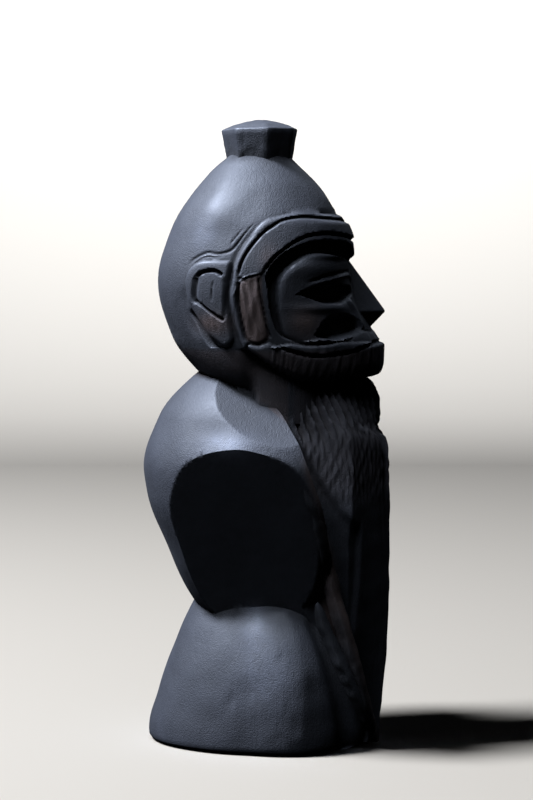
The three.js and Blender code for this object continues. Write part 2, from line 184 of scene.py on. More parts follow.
@dataclass(frozen=True)
class Sheet:
    """The surface unrolled flat, one row of (across, height) for each point; both sides lie on each other."""

    spots: Array

    @classmethod
    def unrolled(cls, angle: Array, height: Array) -> Sheet:
        """The sheet of the points at these angles and heights."""
        return cls(np.stack([np.abs(angle) * DEGREE_MM, height + 0.0 * angle], axis=-1))

    def near(self, path: Array, margin: float) -> Array:
        """Numbers of the spots within a margin of the box round a path."""
        low, high = path.min(axis=0) - margin, path.max(axis=0) + margin
        return np.flatnonzero(np.all((self.spots > low) & (self.spots < high), axis=1))


def flowing(points: Points, closed: bool = False, pieces: int = 5) -> Array:
    """A smooth path on the sheet through given points.

    Args:
        points: (degrees, height) pairs.
        closed: whether the last point runs on to the first.
        pieces: straight pieces between two points.

    Returns:
        One row of (across, height) for each place on the path.
    """
    knots = np.array(points, float) * (DEGREE_MM, 1.0)
    if closed:
        knots = np.vstack([knots[-1], knots, knots[:2]])
    else:
        knots = np.vstack([2 * knots[0] - knots[1], knots, 2 * knots[-1] - knots[-2]])
    path = []
    for before, start, end, after in zip(knots, knots[1:], knots[2:], knots[3:]):
        for t in np.arange(pieces) / pieces:
            bend = (2 * before - 5 * start + 4 * end - after) * t**2
            bend = bend + (3 * start - before - 3 * end + after) * t**3
            path.append(start + 0.5 * ((end - before) * t + bend))
    path.append(knots[-2])
    return np.array(path)


def nearest(spots: Array, path: Array) -> tuple[Array, Array]:
    """How far each spot is from a path, and the share of the path's length at which it is nearest.

    Args:
        spots: one row of (across, height) for each spot.
        path: one row of (across, height) for each place on the path.

    Returns:
        The distance of each spot from the path, and the share of the path's length at that place.
    """
    steps = np.linalg.norm(np.diff(path, axis=0), axis=1)
    passed = np.concatenate([[0.0], np.cumsum(steps)])
    gap = np.full(len(spots), np.inf)
    share = np.zeros(len(spots))
    for start, end, before, length in zip(path, path[1:], passed, steps):
        if length == 0.0:
            continue
        run = end - start
        t = np.clip((spots - start) @ run / length**2, 0.0, 1.0)
        away = np.hypot(*(spots - start - t[:, None] * run).T)
        closer = away < gap
        gap[closer] = away[closer]
        share[closer] = (before + t[closer] * length) / passed[-1]
    return gap, share


class Tool(Enum):
    """What a stroke is made with, which sets the shape of the cut across its width."""

    KNIFE = "two flat walls that meet in a line"
    GOUGE = "a round bottom with crisp shoulders"
    SCRAPER = "a broad hollow with no shoulders"

    def across(self, share: Array) -> Array:
        """Depth across the stroke as a share of its depth, from its middle (0) to its edge (1).

        Args:
            share: distance from the stroke's middle as a share of its half width.

        Returns:
            The share of the full depth.
        """
        share = np.clip(share, 0.0, 1.0)
        if self is Tool.KNIFE:
            return 1.0 - share
        if self is Tool.GOUGE:
            return 1.0 - share**2
        return (1.0 - share**2) ** 2


@dataclass(frozen=True)
class Stroke:
    """One stroke along a line. A negative lift cuts in and a positive one leaves a ridge standing."""

    line: Points
    half_width: float
    lift: float
    tool: Tool = Tool.KNIFE
    run_in: float = 0.08  # share of the length over which the tool goes in
    run_out: float = 0.08

    def relief(self, sheet: Sheet) -> Array:
        """Lift at each spot of the sheet.

        Args:
            sheet: the surface unrolled flat.

        Returns:
            The lift at each spot.
        """
        lift = np.zeros(len(sheet.spots))
        path = flowing(self.line)
        near = sheet.near(path, self.half_width)
        gap, share = nearest(sheet.spots[near], path)
        start = eased(share / max(self.run_in, TINY))
        end = eased((1.0 - share) / max(self.run_out, TINY))
        lift[near] = self.lift * self.tool.across(gap / self.half_width) * np.minimum(start, end)
        return lift


@dataclass(frozen=True)
class Patch:
    """A closed outline on the surface, whose inside is set off or rounded like a pillow."""

    outline: Points
    lift: float
    edge: float = 0.5  # width of the step at its edge, or of its rounding

    def depth_inside(self, sheet: Sheet, margin: float = 3.0) -> Array:
        """Distance of each spot from the outline, positive inside; far outside it is just minus margin.

        Args:
            sheet: the surface unrolled flat.
            margin: how far outside the outline a distance is still measured.

        Returns:
            The distance for each spot.
        """
        inside = np.full(len(sheet.spots), -margin)
        path = flowing(self.outline, closed=True)
        near = sheet.near(path, margin)
        spots = sheet.spots[near]
        gap, _ = nearest(spots, path)
        within = np.zeros(len(spots), bool)
        for (x0, y0), (x1, y1) in zip(path, path[1:]):
            if y0 == y1:
                continue
            level = (spots[:, 1] >= min(y0, y1)) & (spots[:, 1] < max(y0, y1))
            within ^= level & (spots[:, 0] < x0 + (spots[:, 1] - y0) * (x1 - x0) / (y1 - y0))
        inside[near] = np.where(within, gap, -gap)
        return np.maximum(inside, -margin)

    def share(self, sheet: Sheet) -> Array:
        """0 outside and 1 inside, with a soft step at the outline."""
        return eased(0.5 + self.depth_inside(sheet) / self.edge)

    def pillow(self, sheet: Sheet) -> Array:
        """Lift of a patch whose edges round down over the edge width."""
        share = np.clip(self.depth_inside(sheet) / self.edge, 0.0, 1.0)
        return self.lift * np.sqrt(1.0 - (1.0 - share) ** 2)


@dataclass(frozen=True)
class Wedge:
    """A cut that slopes in under its upper line and ends in a short wall over its lower line."""

    upper: Points
    lower: Points
    depth: float
    wall: float = 0.8  # height of the wall over the lower line
    slope_power: float = 0.6  # below 1 the slope is steepest at its upper line
    end_run: float = 2.0  # degrees over which each end runs out
    narrow: float = 0.8  # height under which the cut fades

    def relief(self, angle: Array, height: Array) -> Array:
        """Lift at each point, which is never positive.

        Args:
            angle: degrees from the front, negative on the -X side.
            height: height above the table.

        Returns:
            The lift at each point.
        """
        side = np.abs(angle)
        top, foot = Rail(self.upper).at(side), Rail(self.lower).at(side)
        first, last = self.upper[0][0], self.upper[-1][0]
        tall = np.maximum(top - foot, 1e-3)
        down = np.clip((top - height) / tall, 0.0, 1.0) ** self.slope_power
        wall = eased((height - foot) / np.minimum(self.wall, 0.5 * tall))
        ends = eased((side - first) / self.end_run) * eased((last - side) / self.end_run)
        return -self.depth * down * wall * (ends * eased(tall / self.narrow))


@dataclass(frozen=True)
class Bump:
    """A soft swelling, or a soft hollow where its lift is negative."""

    angle: float
    height: float
    wide: float  # degrees from its middle to its edge
    tall: float
    lift: float
    fall: float = 1.5  # how fast it falls off towards its edge

    def relief(self, angle: Array, height: Array) -> Array:
        """Lift at each point."""
        away = ((np.abs(angle) - self.angle) / self.wide) ** 2 + ((height - self.height) / self.tall) ** 2
        return self.lift * np.exp(-self.fall * away)


def stand(name: str, data: bpy.types.ID) -> bpy.types.Object:
    """Puts a mesh, a light or a camera into the scene as an object at the origin.

    Args:
        name: name of the object.
        data: its mesh, light or camera.

    Returns:
        The object.
    """
    thing = bpy.data.objects.new(name, data)
    bpy.context.scene.collection.objects.link(thing)
    return thing


def read(items: bpy.types.bpy_prop_collection, key: str, width: int, kind: type = float) -> Array:
    """One row of a value for each item of a mesh's vertices, edges or normals.

    Args:
        items: a mesh's vertices, edges or normals.
        key: name of the value.
        width: how many numbers it has.
        kind: type of the numbers.

    Returns:
        One row for each item.
    """
    values = np.empty(width * len(items), kind)
    items.foreach_get(key, values)
    return values.reshape(-1, width)


def skin(name: str, columns: Array, rows: Array, place: Callable[[Array, Array], Array]) -> bpy.types.Object:
    """Bends a flat grid round into a closed skin.

    Args:
        name: name of the object.
        columns: value of each column, once round, so that the last one meets the first.
        rows: value of each row; a row that shrinks to a point closes an end.
        place: gives each point's place from its column and row values.

    Returns:
        The object, linked to the scene, with outward faces.
    """
    sheet = bmesh.new()
    bmesh.ops.create_grid(sheet, x_segments=len(columns) - 1, y_segments=len(rows) - 1, size=0.5)
    mesh = bpy.data.meshes.new(name)
    sheet.to_mesh(mesh)
    across, up, _ = (read(mesh.vertices, "co", 3) + 0.5).T
    column = np.rint(across * (len(columns) - 1)).astype(int)
    row = np.rint(up * (len(rows) - 1)).astype(int)
    placed = place(columns[column], rows[row]) * MM
    mesh.vertices.foreach_set("co", placed.ravel())
    sheet.clear()
    sheet.from_mesh(mesh)
    bmesh.ops.remove_doubles(sheet, verts=sheet.verts, dist=MERGE)
    bmesh.ops.recalc_face_normals(sheet, faces=sheet.faces)
    sheet.to_mesh(mesh)
    sheet.free()
    return stand(name, mesh)


def both_sides(seen: Array, unseen: Array) -> Array:
    """Values from 0 outwards, given for the -X side and for the +X side, as one run over both."""
    return np.concatenate([-seen[:0:-1], unseen])


def stretches(*runs: tuple[float, float, float]) -> Array:
    """Even steps over several stretches in a row, each given as (from, to, step)."""
    steps = [np.linspace(start, end, max(2, round(abs(end - start) / step) + 1)) for start, end, step in runs]
    return np.unique(np.round(np.concatenate(steps), 6))


CLOAK_EDGE = Rail(
    (
        (0, 17), (8, 22), (20, 30), (27, 34), (35, 38), (41, 41), (50, 45), (61, 48), (70, 53.5), (79, 59),
        (85, 63), (91, 66.5), (103, 71.5), (107, 74), (112.6, 85), (124, 109),
    )
)
HIDDEN_REACH = 10.0  # of the cloak's masses where the beard hides them


@dataclass(frozen=True)
class Flat:
    """A flat planed on both sides, given on the +X side by one of its points and its outward direction."""

    point: tuple[float, float, float]
    slope: tuple[float, float, float]

    def pare(self, piece: bpy.types.Object) -> None:
        """Planes both sides of a piece: cuts along the flat's edge and lays all beyond it on the flat.

        Args:
            piece: the object to plane.
        """
        work = bmesh.new()
        work.from_mesh(piece.data)
        for side in (1, -1):
            mirror = Vector((side, 1, 1))
            point = Vector(self.point) * mirror * MM
            outward = (Vector(self.slope) * mirror).normalized()
            everything = [*work.verts, *work.edges, *work.faces]
            bmesh.ops.bisect_plane(work, geom=everything, dist=1e-7, plane_co=point, plane_no=outward)
            for vert in work.verts:
                beyond = (vert.co - point).dot(outward)
                if beyond > 0.0:
                    vert.co -= beyond * outward
        work.to_mesh(piece.data)
        work.free()


SHOULDER_FLAT = Flat((35.9, 2.9, 97.4), (0.66, -0.13, 0.74))  # between the collar and the arm
ARM_FLAT = Flat((34.3, 9.0, 96.5), (0.927, 0.175, -0.33))  # broad flat that leans in to the waist


@dataclass
class Cloak:
    """The cloak: a torso and a skirt that part in front, where the beard hangs."""

    torso: Mass = Mass(
        side=Rail(
            ((40, 18), (51, 26.5), (62, 31.5), (81, 37), (89, 37.2), (105, 30.4), (119.4, 17), (124, 10))
        ),
        front=Rail(((40, 24), (62, 33), (85, 36.3), (105, 29.5), (119.4, 17), (124, 10))),
        back=Rail(
            (
                (40, 16), (45.4, 21.4), (62, 29.6), (81, 36.7), (88.9, 37.7), (105, 32.7), (119.4, 19.9),
                (124, 12),
            )
        ),
    )
    skirt: Mass = Mass(
        side=Rail(
            (
                (0, 30.2), (2, 31), (12, 30.6), (22, 29.2), (30, 27), (37, 23.6), (42, 20.2), (46, 17.4),
                (58, 9),
            )
        ),
        front=Rail(((0, 37.4), (8, 39.6), (28, 40.4), (50, 35), (58, 26))),
        back=Rail(((0, 35.4), (2, 36.4), (17, 32.8), (28, 29), (45.4, 21.4), (51, 17), (58, 9))),
        front_power=1.9,
        back_power=1.9,
    )
    torso_rows: Runs = ((40, 101, 1.5), (101, 121, 0.5), (121, 124, 1.5))
    skirt_rows: Runs = ((0, 1.5, 0.5), (1.5, 58, 1.3))
    edge_column: float = 60.0  # the column that always lies on the cloak's edge
    columns_ahead: Runs = ((0, 54, 18), (54, 59, 2.5))
    columns_behind: Runs = ((60, 66, 1.2), (66, 180, 2.1))
    unevenness: float = 0.09
    swell: float = 14.0  # distance between swells
    dents: tuple[Bump, ...] = (  # on the -X side alone
        Bump(109, 17, 2.2, 3.0, -0.5),
        Bump(76, 31, 1.5, 1.3, -0.45),
        Bump(70, 9, 3.0, 5.0, -0.35),
    )
    worn_foot: Bump = Bump(80, 6, 3.5, 2.0, -0.2)
    section_turn: Rail = Rail(  # lift at each angle of the skirt, which brings its broadest place forward
        ((0, 0), (40, 0.4), (56, 1.5), (66, 1.8), (102, -1.6), (132, -1.3), (155, -0.4), (180, 0))
    )
    turn_fade: tuple[float, float] = (50.0, 8.0)  # height at which the turned section ends, and over how much
    ridge: Stroke = Stroke(((66, 47), (64, 33), (66, 17), (69, 2)), 3.5, 0.3, Tool.KNIFE, 0.1, 0.1)
    valley: Stroke = Stroke(  # hollow behind the strips at the cloak's edge
        ((50, 45), (47.5, 35), (44, 24), (40, 12), (37, 0)), 4.5, -2.2, Tool.SCRAPER, 0.15, 0.01
    )
    rim_height: float = 1.5
    rim_depth: float = 0.9
    collar_top: Points = (
        (68, 104.7), (74, 107.6), (81.8, 111.5), (94.6, 115.7), (111.5, 118.1), (126.9, 119.6),
        (146, 120.8),
    )
    collar_foot: Points = (
        (68, 102.6), (78.9, 106.9), (86.8, 110.1), (96.6, 112.8), (112.1, 116.4), (124.2, 118.6),
        (146, 120.6),
    )
    collar_edge: float = 0.6  # width of the step at the collar's upper and lower line
    collar_sink: float = 0.9  # depth of the ground above the cloak, and of the groove along the strip
    collar_stand: float = 0.25  # how much less deep the strip itself lies
    collar_rough: float = 0.22

    def columns(self) -> Array:
        """Columns round a mass, closer together at the cloak's edge."""
        half = np.concatenate([stretches(*self.columns_ahead), stretches(*self.columns_behind)])
        return both_sides(half, half)

    @staticmethod
    def rows(runs: Runs) -> Array:
        """Rows of heights, with one more beyond each end for the middle of its cap."""
        return np.concatenate([[runs[0][0] - 1.0], stretches(*runs), [runs[-1][1] + 1.0]])

    def angle(self, column: Array, height: Array) -> Array:
        """Angle of a column, which follows the cloak's edge ahead of and behind it.

        Args:
            column: the grid's column value of each point.
            height: height above the table.

        Returns:
            The angle at each point.
        """
        edge = CLOAK_EDGE.at(height)
        size = np.abs(column)
        behind = (size - self.edge_column) / (180.0 - self.edge_column)
        turned = np.where(behind < 0, edge * size / self.edge_column, edge + behind * (180 - edge))
        return np.sign(column) * turned

    def wrapped(self, name: str, runs: Runs, surface: Callable[[Array, Array], Array]) -> bpy.types.Object:
        """Makes the closed skin of a mass.

        Args:
            name: name of the object.
            runs: its rows of heights.
            surface: gives its reach from an angle and a height.

        Returns:
            The object.
        """
        low, high = runs[0][0], runs[-1][1]

        def place(column: Array, row: Array) -> Array:
            """Place of each point of the mass.

            Args:
                column: the grid's column value of each point.
                row: its row value, a height or a value beyond the ends.

            Returns:
                One (x, y, z) row for each point.
            """
            height = np.clip(row, low, high)
            angle = self.angle(column, height)
            reach = surface(angle, height)
            reach = np.where(np.abs(column) < self.edge_column, HIDDEN_REACH, reach)
            reach = np.where((row < low) | (row > high), 0.0, reach)
            return upright(angle, reach, height)

        return skin(name, self.columns(), self.rows(runs), place)

    def worked(self, mass: Mass, angle: Array, height: Array, seed: int) -> Array:
        """Reach of a mass with the slow unevenness of the hand.

        Args:
            mass: the mass.
            angle: degrees from the front, negative on the -X side.
            height: height above the table.
            seed: number that fixes the unevenness.

        Returns:
            The reach at each point.
        """
        reach = mass.reach(angle, height)
        swell = waviness(upright(angle, reach, height), self.swell, seed)
        return reach + self.unevenness * swell

    def torso_reach(self, angle: Array, height: Array) -> Array:
        """Reach of the torso, with the collar's strip sunk a little into its top.

        Args:
            angle: degrees from the front, negative on the -X side.
            height: height above the table.

        Returns:
            The reach at each point.
        """
        reach = self.worked(self.torso, angle, height, seed=3)
        side = np.abs(angle)
        top = Rail(self.collar_top).at(side)
        foot = Rail(self.collar_foot).at(side)
        ragged = waviness(upright(angle, reach, height), 2.2, seed=8)
        above = eased((height - foot) / self.collar_edge)
        strip = above * eased((top - height) / self.collar_edge)
        groove = eased(1.0 - np.abs(height - top) / 0.7) * eased((top - foot) / 0.8)
        reach = reach - above * self.collar_sink + strip * (self.collar_stand + self.collar_rough * ragged)
        return reach - groove * self.collar_sink

    def skirt_reach(self, angle: Array, height: Array) -> Array:
        """Reach of the skirt, with its soft upright ridge, its dents and its rounded lower rim.

        Args:
            angle: degrees from the front, negative on the -X side.
            height: height above the table.

        Returns:
            The reach at each point.
        """
        reach = self.worked(self.skirt, angle, height, seed=5)
        sheet = Sheet.unrolled(angle, height)
        top, fade = self.turn_fade
        turned = self.section_turn.at(np.abs(angle)) * eased((top - height) / fade)
        reach = reach + turned + self.ridge.relief(sheet)
        reach = reach + self.valley.relief(sheet)
        for dent in self.dents:
            reach = reach + dent.relief(angle, height) * np.where(angle < 0, 1.0, 0.0)
        reach = reach + self.worn_foot.relief(angle, height)
        rim = np.clip(1.0 - height / self.rim_height, 0.0, 1.0)
        return reach - self.rim_depth * (1.0 - np.sqrt(1.0 - rim**2))

    def build(self) -> list[bpy.types.Object]:
        """Makes the torso and the skirt.

        Returns:
            The two objects.
        """
        torso = self.wrapped("torso", self.torso_rows, self.torso_reach)
        SHOULDER_FLAT.pare(torso)
        ARM_FLAT.pare(torso)
        return [torso, self.wrapped("skirt", self.skirt_rows, self.skirt_reach)]


@dataclass(frozen=True)
class Fold:
    """A rolled band that runs down the cloak's edge."""

    name: str
    angle: Rail  # degrees at each height
    reach: Rail  # reach of the band's middle at each height, before it stands proud
    foot: float
    top: float
    half_width: float
    proud: float
    run_in: float  # length over which the upper end thins out
    run_out: float
    sunk: float  # how far the band's hidden half reaches in
    around: int = 16
    step: float = 1.2
    thinning: float = 0.25  # how far a thinned-out end dips under the surface
    wander: float = 0.22  # unevenness of its width
    chips: float = 0.10  # unevenness of its height
    roundness: float = 0.8  # below 1 its section is squarer than an oval

    def build(self, side: int) -> bpy.types.Object:
        """Makes the band on the side of this sign.

        Args:
            side: 1 for the +X side and -1 for the -X side.

        Returns:
            The object.
        """
        heights = stretches((self.foot, self.top, self.step))
        middle = upright(self.angle.at(heights) * side, self.reach.at(heights), heights)
        out = middle - (0.0, AXIS_Y, 0.0)
        out[:, 2] = 0.0
        out /= np.linalg.norm(out, axis=1)[:, None]
        run = np.gradient(middle, axis=0)
        run /= np.linalg.norm(run, axis=1)[:, None]
        across = np.cross(run, out)
        across /= np.linalg.norm(across, axis=1)[:, None]
        thin_top = np.sqrt(np.clip((self.top - heights) / self.run_in, 0.0, 1.0))
        thin_foot = np.sqrt(np.clip((heights - self.foot) / self.run_out, 0.0, 1.0))
        size = np.minimum(thin_top, thin_foot)
        wander = self.wander * waviness(middle, 5.0, seed=21 + side)
        chips = self.chips * waviness(middle, 1.7, seed=24 + side)

        def place(column: Array, row: Array) -> Array:
            """Place of each point of the band.

            Args:
                column: degrees round the band's section.
                row: number of the height that the point belongs to.

            Returns:
                One (x, y, z) row for each point.
            """
            k = row.astype(int)
            turn = np.radians(column)
            wide = (self.half_width + wander[k]) * size[k] * np.cos(turn)
            high = np.sign(np.sin(turn)) * np.abs(np.sin(turn)) ** self.roundness
            above = self.proud * size[k] - self.thinning * (1.0 - size[k]) + chips[k] * size[k]
            high = high * np.where(high > 0, above, self.sunk * size[k])
            return middle[k] + wide[:, None] * across[k] + high[:, None] * out[k]

        columns = np.linspace(0.0, 360.0, self.around + 1)
        return skin(self.name, columns, np.arange(len(heights)).astype(float), place)


FOLDS = (
    Fold(
        name="upper_edge",
        angle=Rail(((50, 40), (58, 46.5), (65, 53), (74, 58.6), (81, 64), (88, 68.4), (94, 72), (100, 75))),
        reach=Rail(((50, 27.8), (58, 30.6), (65, 33), (74, 35), (81, 36), (88, 36), (94, 34.6), (100, 32.6))),
        foot=51.0,
        top=99.0,
        half_width=2.1,
        proud=1.6,
        run_in=34.0,
        run_out=4.0,
        sunk=3.5,
    ),
    Fold(
        name="hinder_strip",
        angle=Rail(((0, 22), (5, 22.5), (11, 28.4), (24, 38.8), (33, 43.7), (40, 48), (48, 52))),
        reach=Rail(((0, 37), (11, 38), (24, 36), (33, 33.3), (40, 31.2), (48, 29.4))),
        foot=0.4,
        top=48.0,
        half_width=1.7,
        proud=0.8,
        run_in=7.0,
        run_out=1.2,
        sunk=4.0,
    ),
    Fold(
        name="leading_strip",
        angle=Rail(((0, 17), (5, 18.1), (10, 24.5), (24, 33), (33, 37), (42, 40.5), (51, 43), (62, 47))),
        reach=Rail(((0, 37.8), (10, 38.6), (24, 37.8), (33, 36.5), (42, 34.9), (51, 32.8), (62, 32.4))),
        foot=2.0,
        top=62.0,
        half_width=1.9,
        proud=0.8,
        run_in=9.0,
        run_out=4.0,
        sunk=5.0,
    ),
)


@dataclass
class Beard:
    """The long beard: two side planes, two sloped planes and a flat front, gouged into locks."""

    front: Rail = Rail(
        (
            (0, 38.4), (13.5, 39.3), (35, 41.1), (67, 41.7), (95, 41.2), (99, 40.4), (101.5, 37.8),
            (105, 38.6), (110, 38.4), (115, 36.8), (121, 29),
        )
    )
    side: Rail = Rail(
        (
            (0, 13), (15, 16), (30, 19.5), (45, 22.5), (75, 25.2), (90, 24.4), (104, 22.6), (112, 20.4),
            (121, 17),
        )
    )
    back: float = 13.0
    flat_half: Rail = Rail(((0, 8.5), (97, 8.5), (106, 6), (121, 5)))
    slope_start: Rail = Rail(((0, 29), (97, 29), (107, 26), (118, 22.5)))
    side_taper: float = 3.5
    top: float = 121.0
    shown_length: float = 45.0  # length round the outline that the cloak leaves open
    fine_step: tuple[float, float] = (0.42, 0.6)  # on the -X side and on the +X side
    fine_rows: tuple[tuple[float, float, float], ...] = ((0, 72, 2.2), (72, 96, 0.9), (96, 121, 0.6))
    facet_foot: Rail = Rail(  # height at each angle under which the beard's side lies deeper
        ((27, 74), (32.1, 73.1), (39.2, 76.7), (44, 81.8), (48.7, 86.9), (55.7, 94.7), (59, 98), (62, 101))
    )
    recess: float = 1.3
    lock_top: float = 117.0
    lock_pitch: float = 3.0
    lock_lean: float = 3.4  # how far a lock runs forward over its height
    lock_height: float = 17.0
    lock_half_width: tuple[float, float] = (1.05, 1.45)
    lock_depth: tuple[float, float] = (1.7, 2.5)
    long_locks: Points = ((9.0, 5.0), (15.0, 76.0))  # length up to which a cut runs down to a height
    hair_layers: Points = ((1.3, 0.12), (1.9, 0.12), (2.9, 0.14))  # pitch, lift

    corners: Points = ((0.0, 41.5), (8.5, 41.5), (20.5, 29.0), (24.0, 0.0))  # (across, ahead)
    whole_length: float = 90.0  # length of the column at the middle of the back

    def columns(self) -> Array:
        """Lengths round the outline from the middle of the front, then on round the hidden back.

        Returns:
            The length of each column, negative on the -X side.
        """
        shown = self.shown_length
        hidden = ((shown, 54, 3.0), (54, self.whole_length, 9.0))
        return both_sides(*(stretches((0, shown, step), *hidden) for step in self.fine_step))

    def angle(self, length: Array) -> Array:
        """Angle of the outline's point at a length from the middle of the front.

        Args:
            length: length round the beard's outline from the middle of its front, negative on the -X side.

        Returns:
            The angle of each point, negative on the -X side.
        """
        corners = np.array(self.corners)
        passed = np.concatenate([[0.0], np.cumsum(np.linalg.norm(np.diff(corners, axis=0), axis=1))])
        size = np.abs(length)
        x, ahead = (np.interp(size, passed, corners[:, k]) for k in (0, 1))
        turn = np.degrees(np.arctan2(x, ahead))
        beyond = np.clip((size - passed[-1]) / (self.whole_length - passed[-1]), 0.0, 1.0)
        return np.sign(length) * (turn + beyond * 90.0)

    def face_reach(self, angle: Array, start: tuple[Array, Array], end: tuple[Array, Array]) -> Array:
        """Reach of an upright face between two corners, given from the back as (across, ahead).

        Args:
            angle: degrees from the front, negative on the -X side.
            start: the first corner.
            end: the second corner.

        Returns:
            The reach at each point, very far where the face looks away.
        """
        turn = np.radians(np.abs(angle))
        normal = np.stack([end[1] - start[1], start[0] - end[0]])
        normal = normal / np.hypot(*normal)
        facing = normal[0] * np.sin(turn) + normal[1] * np.cos(turn)
        reach = (normal[0] * start[0] + normal[1] * start[1]) / np.maximum(facing, 1e-3)
        return np.where(facing > 1e-3, reach, 1e9)

    def reach(self, angle: Array, height: Array) -> Array:
        """Reach of the beard's block before its locks are cut.

        Args:
            angle: degrees from the front, negative on the -X side.
            height: height above the table.

        Returns:
            The reach at each point.
        """
        side, front = self.side.at(height), self.front.at(height)
        hip = (side, 0.0 * height)
        shoulder = (side - self.side_taper, np.minimum(self.slope_start.at(height), front - 6.0))
        corner = (self.flat_half.at(height), front)
        block = Mass(self.side, self.front, Rail(((0, self.back), (self.top, self.back))), 6.0, 3.0)
        faces = np.minimum(self.face_reach(angle, hip, shoulder), self.face_reach(angle, shoulder, corner))
        return np.minimum(block.reach(angle, height), faces)

    def locks(self) -> list[Stroke]:
        """Gouge cuts between the locks, as lines of (length round the outline, height).

        Returns:
            One stroke for each gap between two locks.
        """
        cuts = []
        draw = np.random.default_rng(11)
        for length in np.arange(1.6, self.shown_length, self.lock_pitch):
            start = length + draw.uniform(-0.3, 0.3)
            top = self.lock_top + draw.uniform(-1.2, 0.8) - 0.06 * length
            foot = top - self.lock_height - draw.uniform(-2.0, 3.5)
            for limit, low in self.long_locks[::-1]:
                if length < limit:
                    foot = low
            span = top - foot
            line = []
            for share in np.linspace(0.0, 1.0, 6 if span < 30 else 12):
                drift = draw.uniform(-0.2, 0.2)
                lean = self.lock_lean * min(1.0, length / 12.0) * min(1.0, share * span / self.lock_height)
                line.append((max(start - lean + drift, 0.4) / DEGREE_MM, top - share * span))
            half_width, depth = draw.uniform(*self.lock_half_width), draw.uniform(*self.lock_depth)
            cuts.append(Stroke(tuple(line), half_width, -depth, Tool.GOUGE, 0.03, 0.5))
        return cuts

    def hairs(self, length: Array, height: Array) -> Array:
        """Fine hair lines left by the point of the knife.

        Args:
            length: length round the beard's outline from the middle of its front, negative on the -X side.
            height: height above the table.

        Returns:
            The lift at each point.
        """
        total = np.zeros(len(length))
        draw = np.random.default_rng(17)
        for pitch, lift in self.hair_layers:
            sway = 0.5 * np.sin(height / draw.uniform(7, 11) + draw.uniform(0, 6)) * pitch
            share = ((length + sway) / pitch) % 1.0
            strength = 0.5 + 0.5 * np.sin(height / draw.uniform(5, 9) + length / draw.uniform(2, 4))
            total -= lift * strength * np.abs(2.0 * share - 1.0) ** 0.8
        return total

    def place(self, column: Array, row: Array) -> Array:
        """Place of each point of the beard.

        Args:
            column: the grid's column value of each point.
            row: the grid's row value of each point.

        Returns:
            One row of x, y and z for each point.
        """
        height = np.clip(row, 0.0, self.top)
        angle = self.angle(column)
        reach = self.reach(angle, height)
        length = np.abs(column)
        sheet = Sheet(np.stack([length, height], axis=-1))
        relief = np.zeros(len(column))
        for cut in self.locks():
            relief = np.minimum(relief, cut.relief(sheet))
        in_front = eased((self.shown_length - length) / 2.0)
        ahead = eased((16.0 - length) / 4.0)
        combed = 0.15 + 0.6 * ahead + 0.4 * eased((height - 97.0) / 6.0)
        relief += self.hairs(column, height) * in_front * combed
        rough = waviness(np.stack([column, height * 0.3], axis=-1), 1.7, seed=37)
        relief += 0.16 * rough * in_front * eased((height - 74.0) / 14.0)
        side = np.abs(angle)
        foot = self.facet_foot.at(side)
        under = eased((foot - height) / 3.5) * eased((side - 29.0) / 3.0) * eased((100.0 - height) / 5.0)
        relief -= self.recess * under
        tear = eased(1.0 - np.abs(height - 101.5) / 2.4) * eased((28.0 - side) / 5.0)
        relief += 0.75 * tear * waviness(np.stack([column, height * 0.5], axis=-1), 2.0, seed=31)
        relief += 0.12 * waviness(upright(angle, reach, height), 9.0, seed=33)
        reach = reach + relief
        reach = np.where((row < 0.0) | (row > self.top), 0.0, reach)
        return upright(angle, reach, height)

    def build(self) -> bpy.types.Object:
        """Makes the beard, with its flats pared as the arms are.

        Returns:
            The object.
        """
        rows = np.concatenate([[-1.0], stretches(*self.fine_rows), [self.top + 1.0]])
        piece = skin("beard", self.columns(), rows, self.place)
        ARM_FLAT.pare(piece)
        return piece


